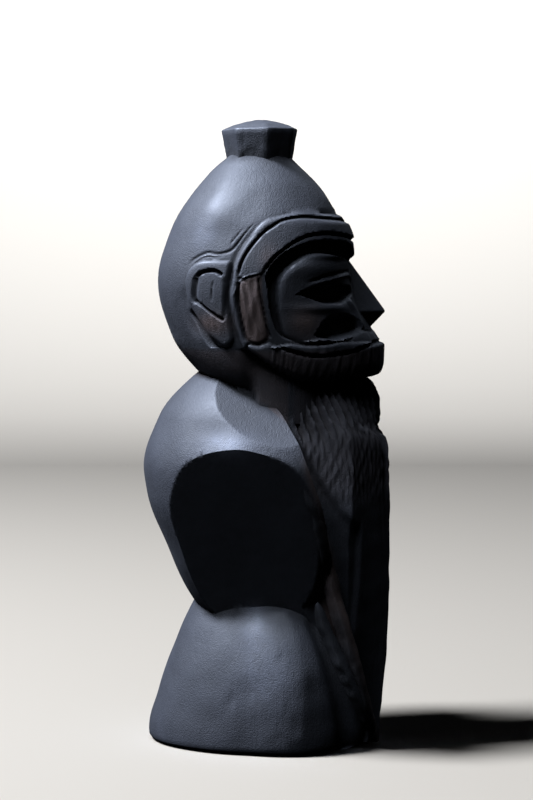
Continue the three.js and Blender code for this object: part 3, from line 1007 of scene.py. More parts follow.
@dataclass
class Head:
    """The head in its smooth cap, with the carved mask of the face, the ears and the neck."""

    mass: Mass = Mass(
        side=Rail(
            (
                (114.5, 17), (118, 22.3), (131, 25.5), (148, 27.2), (165.5, 24.3), (178, 18), (188, 9.6),
                (191, 7),
            )
        ),
        front=Rail(
            (
                (114.5, 30), (116, 35), (118, 37.4), (123, 39.0), (127.5, 39.0), (135, 34.8), (145, 30.2),
                (155, 28.6), (157, 30.3), (166.5, 28), (169, 25.4), (178, 19.4), (188, 9.8), (191, 7),
            )
        ),
        back=Rail(
            ((114.5, 14), (119.4, 19.9), (131, 28.5), (148.8, 33), (165.5, 28.4), (183, 16.3), (191, 7))
        ),
    )
    foot: float = 104.0
    band_top_row: float = 170.0
    top: float = 191.0
    jaw_edge: Rail = Rail(
        (
            (0, 118.3), (16, 118.2), (26, 117.7), (41, 117.0), (52, 117.4), (59, 118.1), (66.4, 119.2),
            (74, 120.7), (81.5, 122.4), (88, 124.2), (94, 126.1), (100, 127.5), (112, 128), (180, 128),
        )
    )
    neck: Rail = Rail(((0, 28), (60, 23.5), (86, 22), (108, 21), (141, 19.6), (180, 19.5)))
    shelf_end: tuple[float, float] = (90.0, 106.0)  # degrees over which the jaw's shelf fades out
    cap_rim: Points = (
        (-4, 169.8), (11, 169.8), (32.6, 169.9), (44.5, 170.4), (54, 170.7), (66.1, 169.9), (76.7, 168.9),
        (84.9, 168),
    )
    ring_outer: Points = (
        (84.9, 168), (91.5, 165.8), (97.1, 162.8), (101.8, 160), (105.2, 157), (107.2, 154.2),
        (108.9, 149.9), (110.3, 145.4), (110.5, 141.8), (108.2, 135.8), (104.4, 130.9), (101.1, 127.6),
    )
    band_top: Points = (
        (-4, 167.4), (11, 167.6), (18.9, 168), (38.6, 168.4), (50.7, 168.7), (59, 168.7), (66.9, 168.3),
        (74.6, 167.5), (80.3, 166), (86.3, 164.3), (91.2, 162.2), (96.2, 159.4), (100.3, 156.4),
        (102.9, 153.2), (104, 150.4),
    )
    panel_edge: Points = (
        (103.6, 148.6), (104.5, 144.7), (104.3, 141.4), (103, 138.2), (101.9, 134.9), (100.3, 131.6),
        (97.9, 129.7),
    )
    cross_ridge: Points = (
        (89.4, 151), (93.1, 150.9), (97.3, 150.4), (100.7, 149.7), (103.1, 148.6), (105.2, 146),
        (108, 143.6),
    )
    brow_groove: Points = (
        (-4, 161.6), (10, 162), (19.2, 162.8), (33.7, 163.6), (43.1, 163.7), (51.5, 163.3), (58.1, 162.6),
        (64.4, 161.4), (70.4, 159.8), (76.2, 157.9), (81.2, 155.9), (85, 153.7), (88.2, 151.5),
    )
    socket: Points = (
        (8, 157.6), (12, 159.4), (21.2, 160.9), (33.3, 161.5), (44, 161.6), (52.2, 161.2),
        (58.6, 160.5), (64.7, 159.5), (70.5, 158.3), (76.2, 156.7), (80.7, 154.6), (83.9, 152.7),
        (85.9, 150.2), (85.6, 148), (84.5, 145.5), (83.7, 141), (81.2, 136.5), (77.7, 133),
        (72.7, 131.2), (66, 131), (60, 135), (45, 145), (20, 150), (8, 154),
    )
    mound: Points = (
        (2, 154.5), (13, 155.6), (25.1, 156.3), (37.6, 157.1), (48.6, 157.4), (56.1, 156.9), (63.2, 155.4),
        (68.9, 153.6), (73.4, 151.7), (76.7, 149.4), (78, 146.5), (78.2, 143), (77.3, 139), (75.4, 135.5),
        (72.6, 131.8), (66.1, 129.8), (58.7, 128.7), (48.8, 128.9), (39.2, 129.6), (30.9, 130.8),
        (20.3, 132.8), (2, 134),
    )
    mound_corner: int = 14  # place in the mound's outline from which it borders on the lip
    lid: Points = (
        (62, 146.9), (53.6, 147.9), (45.9, 148.8), (37.2, 149.5), (25.8, 150.3), (16.5, 150.4),
        (12.6, 149.2), (13.4, 147.2),
    )
    lid_crease: Points = ((60, 148.2), (51, 149.5), (45.7, 150.3), (36.9, 151), (20.1, 151.8), (12, 151.6))
    slit: Wedge = Wedge(
        upper=(
            (14, 147), (20.9, 147.4), (34.7, 147.9), (46.2, 147.5), (56, 146.8), (61.8, 146),
            (67, 144.8),
        ),
        lower=(
            (14, 144.6), (20, 143.4), (25.3, 142.5), (34.2, 141.4), (44.6, 141.5), (53.9, 142.7),
            (60.7, 143.8), (67, 144.4),
        ),
        depth=3.4,
    )
    hollow: Wedge = Wedge(
        upper=(
            (19, 134.4), (21.5, 136.8), (25.5, 138), (34.1, 138.5), (42.8, 138), (48.5, 136.2), (51.5, 134),
            (54, 131.8),
        ),
        lower=((19, 133.2), (24.8, 131.9), (33.3, 130.7), (41.4, 130.1), (48.5, 130.6), (54, 131.6)),
        depth=3.6,
        wall=1.0,
    )
    inner_lump: Points = ((25.5, 143.6), (21.5, 140.7), (19.4, 136.5), (19, 133))
    mouth: Points = (
        (-4, 129.2), (12.3, 129.1), (23.4, 128.1), (29.7, 127), (35.4, 126.2), (42.9, 125.7), (50.6, 125.4),
        (59, 125.8), (65.7, 126.6), (72.6, 127.6), (78.5, 128.7),
    )
    jaw_band_end: Points = ((84, 129.7), (91, 128.8), (98.5, 129))
    jaw_band_angles: tuple[float, ...] = (97, 90, 84, 76, 67, 58, 41, 26, 16, 0, -4)
    panel: Points = (
        (89.6, 150.6), (93.1, 150.4), (97.3, 149.9), (100.7, 149.2), (103.2, 147.8), (103.6, 144),
        (103.2, 140), (101.6, 135), (98.5, 130.6), (92, 129.4), (86, 130.6), (84.6, 132), (86.6, 137),
        (88.4, 142), (89.4, 146),
    )
    panel_cut: Points = ((91, 150.2), (90.4, 147), (88.8, 142.5), (86.7, 138), (85.2, 134.5), (82.6, 131.0))
    ear: Points = (
        (109, 154.6), (115.7, 155.3), (124.2, 155.3), (130.8, 154.8), (135, 153.5), (137.6, 151.8),
        (138.8, 149.8), (139.2, 146.5), (138.5, 143.2), (136, 140.3), (134, 138.2), (129.9, 134.7),
        (126.3, 131.8), (120.8, 129.8), (114.5, 128), (108.5, 130.4), (109.5, 136), (111.6, 142),
        (110.6, 148),
    )
    ear_slit: Points = (
        (130.8, 149.6), (129.4, 150.9), (125.7, 151.8), (120.8, 152.1), (117.5, 151.8), (113.6, 150.6),
    )
    ear_back_hollow: Points = ((130.6, 150.2), (131.6, 146.8), (132.2, 143.6), (130.8, 141.6))
    ear_front_hollow: Points = ((113.4, 150.4), (112, 147), (111.8, 143.4), (112.8, 139.5), (114, 136.4))
    ear_crack: Points = ((119.4, 149.4), (120.4, 146), (121, 142))
    lobe_cut: Points = (
        (132.6, 143.2), (130.3, 142.1), (126.8, 141), (121.3, 138.9), (115.9, 137.2), (113, 136.6),
    )
    ear_undercut: Points = (
        (138.4, 140.4), (134.8, 137.2), (130.8, 133.2), (126.8, 130), (121, 127.8), (113.5, 126),
    )
    torn_edge: Points = (
        (139, 152.6), (138.1, 153.6), (134.7, 155.6), (126.2, 157.6), (118.8, 157.2), (110.4, 158.2),
        (105, 161), (98, 165),
    )
    scratches: tuple[Points, ...] = (
        ((136, 151.6), (133, 154.4), (127, 156.2), (119, 156.2), (112, 156.9)),
        ((109, 157.4), (105.6, 160.6), (100, 164), (93, 167.4)),
        ((112, 159.4), (108, 162), (102, 165.4)),
        ((107.6, 151), (106.2, 154.6), (103.2, 157.8), (98.6, 161.2), (92, 164.4)),
        ((108.6, 146), (107.6, 150), (106.4, 153)),
        ((106.4, 141), (107, 136.8), (104.6, 132.4), (101.4, 129.2)),
    )
    cap_hollow: Points = ((130, 159.5), (119, 163), (110, 166.5), (95, 172), (80, 176))
    nape_hollow: Points = ((140, 148), (142, 142), (138, 135), (132, 130))
    nose_ridge: Points = (
        (130.5, 30), (132.8, 34.6), (138.5, 40.1), (139, 40.2), (154.6, 28.9), (157.5, 26.6),
    )
    nose_flare: Rail = Rail(((133, 1.15), (139, 1.1), (150, 0.86), (156, 0.8)))
    unevenness: float = 0.045
    fine_step: tuple[float, float] = (0.8, 1.25)  # degrees between columns on the -X side and the +X side

    def columns(self) -> Array:
        """Columns round the head, close on the face and the ears and closest on the -X side."""
        return both_sides(*(stretches((0, 142, step), (142, 180, 3.8)) for step in self.fine_step))

    def rows(self) -> Array:
        """Rows as levels: below 0 the neck, 0 to 1 the face, and 1 to 2 the top of the cap.

        Returns:
            The level of each row.
        """
        neck = [-1.2, -1.0, -0.8, -0.62, -0.48, -0.36, -0.28, -0.21, -0.16, -0.11, -0.07, -0.035, -0.008]
        rim = [0.0, 0.003, 0.008]
        face = np.linspace(0.016, 1.0, 128)
        cap = np.linspace(1.0, 2.0, 19)[1:]
        return np.concatenate([neck, rim, face, cap, [2.2]])

    def height(self, level: Array, side: Array) -> Array:
        """Height of a row, which follows the jaw's edge at level 0.

        Args:
            level: the row's level.
            side: degrees from the front, the same on both sides.

        Returns:
            The height at each point.
        """
        jaw = self.jaw_edge.at(side)
        ragged = 0.5 * np.interp(side, (0, 20, 96, 104), (0.4, 1, 1, 0))
        jaw = jaw + ragged * waviness(np.stack([side * 0.5], axis=-1), 2.2, seed=41)
        neck = self.foot + (jaw - self.foot) * (1.0 + np.clip(level, -1.0, 0.0))
        face = jaw + np.clip(level, 0.0, 1.0) * (self.band_top_row - jaw)
        cap = np.clip(level - 1.0, 0.0, 1.0) * (self.top - self.band_top_row)
        return np.where(level < 0.0, neck, face + cap)

    def ring(self) -> Patch:
        """The raised ring between the cap and the face."""
        inner = self.band_top + self.panel_edge
        return Patch(self.cap_rim + self.ring_outer[1:] + inner[::-1], 0.7, 1.7)

    def bands(self, sheet: Sheet) -> Array:
        """Relief of the ring, the brow band, the lip strip and the jaw band.

        Args:
            sheet: the surface unrolled flat.

        Returns:
            The lift at each spot.
        """
        brow = Patch(self.band_top + self.cross_ridge[3::-1] + self.brow_groove[::-1], 0.7, 1.0)
        lip = Patch(self.mouth + self.mound[: self.mound_corner : -1], 1.1, 1.0)
        foot = tuple((angle, float(self.jaw_edge.at(np.array(angle)))) for angle in self.jaw_band_angles)
        jaw = Patch(self.mouth + self.jaw_band_end + foot, 0.9, 1.6)
        return self.ring().pillow(sheet) + brow.pillow(sheet) + lip.pillow(sheet) + jaw.pillow(sheet)

    def strokes(self) -> list[Stroke]:
        """Every knife and gouge line on the head.

        Returns:
            The strokes, in the order in which they are laid over each other.
        """
        scratches = [Stroke(line, 0.45, -0.28, Tool.KNIFE, 0.3, 0.3) for line in self.scratches]
        return scratches + [
            Stroke(self.cap_rim, 0.6, -0.6, Tool.KNIFE, 0.01, 0.5),
            Stroke(self.ring_outer, 1.8, -0.35, Tool.SCRAPER, 0.3, 0.3),
            Stroke(self.band_top, 0.6, -1.1, Tool.KNIFE, 0.01, 0.03),
            Stroke(self.panel_edge, 0.65, -1.1, Tool.KNIFE, 0.03, 0.2),
            Stroke(self.cross_ridge, 0.55, 0.45, Tool.GOUGE, 0.1, 0.3),
            Stroke(self.brow_groove, 0.75, -1.3, Tool.KNIFE, 0.01, 0.06),
            Stroke(self.mouth, 0.7, -1.5, Tool.KNIFE, 0.01, 0.12),
            Stroke(self.panel_cut, 0.55, -1.0, Tool.KNIFE, 0.06, 0.06),
            Stroke(self.lid_crease, 0.5, -0.7, Tool.KNIFE, 0.2, 0.12),
            Stroke(self.lid, 0.6, 0.5, Tool.GOUGE, 0.25, 0.08),
            Stroke(self.inner_lump, 1.8, 0.9, Tool.SCRAPER, 0.2, 0.2),
            Stroke(self.ear_slit, 0.8, -1.7, Tool.GOUGE, 0.1, 0.1),
            Stroke(self.ear_back_hollow, 1.4, -1.0, Tool.SCRAPER, 0.1, 0.15),
            Stroke(self.ear_front_hollow, 0.9, -0.35, Tool.SCRAPER, 0.15, 0.15),
            Stroke(self.ear_crack, 0.45, -0.3, Tool.KNIFE, 0.2, 0.2),
            Stroke(self.lobe_cut, 0.7, -1.2, Tool.KNIFE, 0.08, 0.1),
            Stroke(self.ear_undercut, 1.6, -1.5, Tool.SCRAPER, 0.15, 0.1),
            Stroke(self.torn_edge, 0.7, -0.4, Tool.KNIFE, 0.15, 0.35),
            Stroke(self.cap_hollow, 6.0, -0.3, Tool.SCRAPER, 0.35, 0.35),
            Stroke(self.nape_hollow, 3.0, -0.5, Tool.SCRAPER, 0.3, 0.3),
        ]

    def eye_and_cheek(self, angle: Array, height: Array, sheet: Sheet) -> Array:
        """Relief of the socket's channel round the mound, and of the mound's own features.

        Args:
            angle: degrees from the front, negative on the -X side.
            height: height above the table.
            sheet: the surface unrolled flat.

        Returns:
            The lift at each point.
        """
        inside = Patch(self.mound, 0.0).depth_inside(sheet)
        on_mound = eased(0.5 + inside / 0.6)
        channel = Patch(self.socket, 1.0, 0.55).share(sheet)
        rounding = -0.8 * (1.0 - np.sqrt(1.0 - (1.0 - np.clip(inside / 2.4, 0.0, 1.0)) ** 2))
        swells = (
            Bump(50, 153.0, 30, 4.6, 1.1),
            Bump(46, 140.4, 22, 1.8, 0.8),
            Bump(58, 136.0, 12, 5.0, 0.4),
        )
        features = sum(bump.relief(angle, height) for bump in swells)
        features = features + self.slit.relief(angle, height) + self.hollow.relief(angle, height)
        return on_mound * (rounding + features) - channel * (1.0 - on_mound) * 3.5

    def cap_flat(self, angle: Array, height: Array, reach: Array) -> Array:
        """The cap's reach with the lens-shaped flat planed down its front.

        Args:
            angle: degrees from the front, negative on the -X side.
            height: height above the table.
            reach: distance from the axis line.

        Returns:
            The reach at each point.
        """
        planed = np.interp(height, (168, 170, 175, 181, 187, 191), (0.0, 0.9, 1.5, 1.0, 0.25, 0.0))
        round_front = reach + planed * eased(1.0 - np.abs(angle) / 55.0)
        plane = self.mass.front.at(height) / np.maximum(np.cos(np.radians(angle)), 0.2)
        flat_front = np.minimum(round_front, np.where(np.abs(angle) < 70, plane, 99.0))
        return np.where(height > 168.5, flat_front, reach)

    def nose(self, angle: Array, height: Array) -> Array:
        """Reach of the wedge of the nose.

        Args:
            angle: degrees from the front, negative on the -X side.
            height: height above the table.

        Returns:
            The reach at each point, and 0 away from the nose.
        """
        turn = np.radians(np.abs(angle))
        ridge = np.interp(height, *np.array(self.nose_ridge).T)
        wedge = ridge / (np.cos(turn) + self.nose_flare.at(height) * np.sin(turn))
        return np.where((height > 131.0) & (height < 157.0) & (np.abs(angle) < 40), wedge, 0.0)

    def chatter(self, angle: Array, height: Array, sheet: Sheet) -> Array:
        """Upright marks of the knife below the mouth, and rough ones on the panel, the lip and the lobe.

        Args:
            angle: degrees from the front, negative on the -X side.
            height: height above the table.
            sheet: the surface unrolled flat.

        Returns:
            The lift at each point.
        """
        run = np.stack([angle * DEGREE_MM, height * 0.16], axis=-1)
        fine = waviness(run, 1.5, seed=71)
        coarse = waviness(run * (1.0, 2.0), 2.6, seed=73)
        mouth = Rail(self.mouth).at(np.abs(angle))
        jaw = eased((mouth - height) / 1.0) * eased((86.0 - np.abs(angle)) / 6.0)
        lip = eased((height - mouth) / 0.6) * eased((mouth + 4.0 - height) / 1.0)
        lip = lip * eased((72.0 - np.abs(angle)) / 8.0)
        panel = Patch(self.panel, 1.0, 0.8).share(sheet)
        lobe = Bump(122, 134.5, 10, 4, 1.0).relief(angle, height)
        return 0.09 * jaw * fine + 0.10 * lip * coarse + 0.09 * panel * coarse + 0.06 * lobe * coarse

    def reach(self, angle: Array, height: Array) -> Array:
        """Reach of the head above the jaw's edge, with all its relief.

        Args:
            angle: degrees from the front, negative on the -X side.
            height: height above the table.

        Returns:
            The reach at each point.
        """
        reach = self.mass.reach(angle, height)
        sheet = Sheet.unrolled(angle, height)
        reach = self.cap_flat(angle, height, reach)
        spots = upright(angle, reach, height)
        relief = self.bands(sheet) + self.eye_and_cheek(angle, height, sheet)
        relief += Patch(self.ear, 1.0, 1.8).pillow(sheet)
        relief += Patch(self.panel, 0.45, 1.0).pillow(sheet)
        relief += sum(stroke.relief(sheet) for stroke in self.strokes())
        relief += Bump(132, 171, 16, 8, 0.25).relief(angle, height)
        relief += self.chatter(angle, height, sheet)
        relief += self.unevenness * waviness(spots, 10.0, seed=51)
        return np.maximum(reach + relief, self.nose(angle, height))

    def place(self, column: Array, row: Array) -> Array:
        """Place of each point of the head.

        Args:
            column: the grid's column value of each point.
            row: the grid's row value of each point.

        Returns:
            One row of x, y and z for each point.
        """
        side = np.abs(column)
        height = self.height(row, side)
        natural = self.mass.reach(column, height)
        shelf = 1.0 - eased((side - self.shelf_end[0]) / (self.shelf_end[1] - self.shelf_end[0]))
        neck = self.neck.at(side)
        above = self.reach(column, np.maximum(height, self.jaw_edge.at(side) - 1.0))
        rim = np.interp(row, (-0.01, 0.0, 0.003, 0.008, 0.016), (1.0, 0.9, 0.35, 0.1, 0.0))
        above = above - shelf * rim
        ledge = np.interp(row, (-0.32, -0.21, -0.07, -0.035), (0.0, 0.45, 0.55, 0.5))
        ledge = ledge * (0.6 + 0.45 * waviness(np.stack([side * 0.5, row * 20.0], axis=-1), 1.6, seed=61))
        ledge = ledge * eased((86.0 - side) / 14.0)
        below = natural + shelf * (neck + np.clip(ledge, 0, 1) * (above - neck) * 0.8 - natural)
        reach = np.where(row < 0.0, below, above)
        reach = np.where((row < -1.1) | (row > 2.1), 0.0, reach)
        return upright(column, reach, height)

    def build(self) -> bpy.types.Object:
        """Makes the head."""
        return skin("head", self.columns(), self.rows(), self.place)


@dataclass
class Knob:
    """The chopped knob on the crown: uneven flats under a low dome, rough from the chisel at its foot."""

    corners: Points = (
        (-12.0, -2.4), (-6.0, -10.7), (1.5, -12.0), (8.6, -8.4), (11.8, 0.6), (8.8, 8.8), (0.5, 12.6),
        (-9.2, 7.8),
    )
    foot: float = 186.0
    brink: float = 196.9
    lean: float = 0.02  # how much lower the brink is for each millimetre to the back
    foot_share: float = 0.845
    dome: Points = ((198.4, 0.72), (199.4, 0.42), (200.0, 0.14))  # height, share of the brink's width
    chamfer: float = 0.0003
    cuts: int = 6
    long_edge: float = 1.5  # length over which an edge is cut up
    roughness: float = 0.09

    def ring(self, height: float, share: float) -> list[Vector]:
        """Places of the corners at a height, drawn in to a share of their width."""
        return [Vector((x * share, AXIS_Y + y * share, height)) * MM for x, y in self.corners]

    def build(self) -> bpy.types.Object:
        """Makes the knob from one ring of corners, drawn up, splayed, capped, chamfered and roughened.

        Returns:
            The object.
        """
        work = bmesh.new()
        last = work.faces.new([work.verts.new(place) for place in self.ring(self.foot, self.foot_share)])
        base, share_before = last, self.foot_share
        for height, share in ((self.brink, 1.0), *self.dome):
            made = bmesh.ops.extrude_face_region(work, geom=[last])["geom"]
            if last is not base:
                bmesh.ops.delete(work, geom=[last], context="FACES_ONLY")
            last = next(g for g in made if isinstance(g, bmesh.types.BMFace))
            shrink = share / share_before
            share_before = share
            for vert in last.verts:
                across = vert.co - Vector((0.0, AXIS_Y, 0.0)) * MM
                level = height - self.lean * across.y / MM * share
                vert.co = Vector((across.x * shrink, across.y * shrink + AXIS_Y * MM, level * MM))
        bmesh.ops.recalc_face_normals(work, faces=work.faces)
        bmesh.ops.bevel(
            work,
            geom=list(work.edges),
            offset=self.chamfer,
            affect="EDGES",
            segments=1,
            profile=0.5,
            material=-1,
        )
        bmesh.ops.triangulate(work, faces=[face for face in work.faces if len(face.verts) > 4])
        long_edges = [edge for edge in work.edges if edge.calc_length() > self.long_edge * MM]
        bmesh.ops.subdivide_edges(work, edges=long_edges, cuts=self.cuts, use_grid_fill=True)
        work.normal_update()
        spots = np.array([vert.co for vert in work.verts]) / MM
        low = eased((self.brink - spots[:, 2]) / 6.0)
        rough = self.roughness * (0.4 + low) * waviness(spots * (1.0, 1.0, 0.7), 2.2, seed=81)
        for vert, lift in zip(work.verts, rough):
            vert.co += vert.normal * (lift * MM)
        mesh = bpy.data.meshes.new("knob")
        work.to_mesh(mesh)
        work.free()
        return stand("knob", mesh)


def joined(name: str, first: bpy.types.Object, others: list[bpy.types.Object]) -> bpy.types.Object:
    """Unites closed skins into one skin and removes the loose ones.

    Args:
        name: name of the piece.
        first: the object that the others are united with.
        others: the objects to unite with it.

    Returns:
        The united object.
    """
    for other in others:
        union = first.modifiers.new(other.name, "BOOLEAN")
        union.operation = "UNION"
        union.solver = "MANIFOLD"
        union.object = other
    graph = bpy.context.evaluated_depsgraph_get()
    mesh = bpy.data.meshes.new_from_object(first.evaluated_get(graph))
    mesh.name = name
    for piece in (first, *others):
        bpy.data.objects.remove(piece)
    return stand(name, mesh)


MIX_SHARE, MIX_FIRST, MIX_SECOND, MIX_RESULT = 0, 6, 7, 2  # a colour Mix node's sockets


@dataclass(frozen=True)
class Signal:
    """A shader value as a Python number, so that shader maths reads as plain expressions."""

    stain: BlackStain
    socket: bpy.types.NodeSocket

    def _math(self, operation: str, *values: Signal | float) -> Signal:
        """One Math node over values, each a signal or a number.

        Args:
            operation: what the node does.
            values: its inputs, in order.

        Returns:
            The node's result.
        """
        inputs = dict(enumerate(value.socket if isinstance(value, Signal) else value for value in values))
        made = self.stain.node("ShaderNodeMath", {"operation": operation}, inputs)
        return Signal(self.stain, made.outputs[0])

    def __add__(self, other: Signal | float) -> Signal:
        """The sum."""
        return self._math("ADD", self, other)

    def __sub__(self, other: Signal | float) -> Signal:
        """The difference."""
        return self._math("SUBTRACT", self, other)

    def __mul__(self, other: Signal | float) -> Signal:
        """The product."""
        return self._math("MULTIPLY", self, other)

    def __rsub__(self, other: float) -> Signal:
        """A number less this signal."""
        return self._math("SUBTRACT", other, self)

    __radd__ = __add__
    __rmul__ = __mul__

    def clamped(self) -> Signal:
        """The signal held between 0 and 1."""
        return self._math("MINIMUM", self._math("MAXIMUM", self, 0.0), 1.0)


@dataclass
class BlackStain:
    """Black stain and wax on close-grained wood, worn brown on a few raised parts, with painted shade in the
    cuts and a painted highlight on a few rubbed spots.
    """

    name: str = "black_stained_wood"
    stain: Colour = (0.0045, 0.0046, 0.0056)
    worn: Colour = (0.045, 0.028, 0.022)
    rubbed_and_painted_highlight: Colour = (0.060, 0.064, 0.078)  # painted highlight, a lighter bluish colour on the rubbed spots
    bloom: Colour = (0.014, 0.015, 0.019)  # lighter wax tone, mixed in with the cloud pattern and on raised parts, and held back in cuts as painted shade
    roughness: float = 0.7
    specular: float = 0.34
    wax_roughness: float = 0.36
    wax_index: float = 1.5
    bump_strength: float = 0.6
    bump_distance: float = 0.0003
    along_grain: float = 0.12  # how much the grain is drawn out upwards
    grain_scale: float = 900.0
    pore_scale: float = 2600.0
    cloud_scale: float = 70.0

    def __post_init__(self) -> None:
        """Starts an empty node tree."""
        self.material = bpy.data.materials.new(self.name)
        self.material.use_nodes = True
        self.tree = self.material.node_tree
        self.tree.nodes.clear()

    def node(self, kind: str, settings: dict | None = None, inputs: dict | None = None) -> bpy.types.Node:
        """Adds one node.

        Args:
            kind: the node's type.
            settings: its properties, set first.
            inputs: values or sockets for its input sockets, by name or number.

        Returns:
            The node.
        """
        made = self.tree.nodes.new(kind)
        for key, value in (settings or {}).items():
            setattr(made, key, value)
        for key, value in (inputs or {}).items():
            if isinstance(value, bpy.types.NodeSocket):
                self.tree.links.new(value, made.inputs[key])
            else:
                made.inputs[key].default_value = value
        return made

    def noise(self, vector: bpy.types.NodeSocket, scale: float, detail: float, rough: float = 0.5) -> Signal:
        """A noise pattern around 0.5."""
        inputs = {"Vector": vector, "Scale": scale, "Detail": detail, "Roughness": rough}
        return Signal(self, self.node("ShaderNodeTexNoise", None, inputs).outputs["Fac"])

    def mixed(self, share: Signal, low: Colour | bpy.types.NodeSocket, high: Colour) -> bpy.types.NodeSocket:
        """Mixes two colours.

        Args:
            share: how much of the second colour there is.
            low: the first colour, as a colour or a socket.
            high: the second colour.

        Returns:
            The socket of the mixed colour.
        """
        first = low if isinstance(low, bpy.types.NodeSocket) else (*low, 1.0)
        inputs = {MIX_SHARE: share.socket, MIX_FIRST: first, MIX_SECOND: (*high, 1.0)}
        made = self.node("ShaderNodeMix", {"data_type": "RGBA", "clamp_factor": True}, inputs)
        return made.outputs[MIX_RESULT]

    def attribute(self, name: str) -> Signal:
        """A value stored on the piece's points."""
        return Signal(self, self.node("ShaderNodeAttribute", {"attribute_name": name}).outputs["Fac"])

    def build(self) -> bpy.types.Material:
        """Wires the finish and returns it.

        Returns:
            The material.
        """
        place = self.node("ShaderNodeTexCoord").outputs["Object"]
        along = {"Vector": place, "Scale": (1.0, 1.0, self.along_grain)}
        drawn_out = self.node("ShaderNodeMapping", None, along)
        grain = self.noise(drawn_out.outputs[0], self.grain_scale, 3.0, 0.6)
        pores = self.noise(place, self.pore_scale, 2.0, 0.6)
        cloud = self.noise(place, self.cloud_scale, 4.0, 0.6)
        blotch = self.noise(place, self.cloud_scale * 4.0, 4.0, 0.65)
        raised = self.attribute("raised")
        sunk = self.attribute("sunk")
        brown = self.attribute("brown")
        worn = (brown * (0.35 + 1.3 * blotch)).clamped()
        # darker in cuts through sunk, which is painted shade; lighter with the cloud pattern and on raised
        # parts
        dust_and_painted_shade = (0.25 + 0.9 * (cloud - 0.42) + 0.5 * raised - 0.8 * sunk).clamped()
        colour = self.mixed(dust_and_painted_shade, self.stain, self.bloom)
        colour = self.mixed(worn, colour, self.worn)
        polish_and_painted_highlight = self.attribute("polish_and_painted_highlight")
        # painted highlight: a lighter bluish colour laid over the rubbed spots
        rubbed_and_painted_highlight = (polish_and_painted_highlight * (1.5 * blotch - 0.1 + 0.8 * (pores - 0.5))).clamped()
        colour = self.mixed(rubbed_and_painted_highlight, colour, self.rubbed_and_painted_highlight)
        rough = self.roughness - 0.1 * polish_and_painted_highlight + 0.22 * (blotch - 0.5) + 0.25 * sunk - 0.06 * raised
        rough = rough + 0.24 * (pores - 0.5)
        height = 1.1 * pores + 0.7 * grain + 0.6 * blotch
        relief = {"Height": height.socket, "Strength": self.bump_strength, "Distance": self.bump_distance}
        wax = (0.07 + 0.12 * polish_and_painted_highlight + 0.12 * raised - 0.4 * sunk + 0.3 * (cloud - 0.5)).clamped()
        surface = {
            "Specular IOR Level": self.specular,
            "Coat Roughness": self.wax_roughness,
            "Coat IOR": self.wax_index,
            "Coat Weight": wax.socket,
            "Base Color": colour,
            "Roughness": rough.clamped().socket,
            "Normal": self.node("ShaderNodeBump", None, relief).outputs["Normal"],
        }
        shader = self.node("ShaderNodeBsdfPrincipled", None, surface)
        self.node("ShaderNodeOutputMaterial", None, {"Surface": shader.outputs[0]})
        return self.material


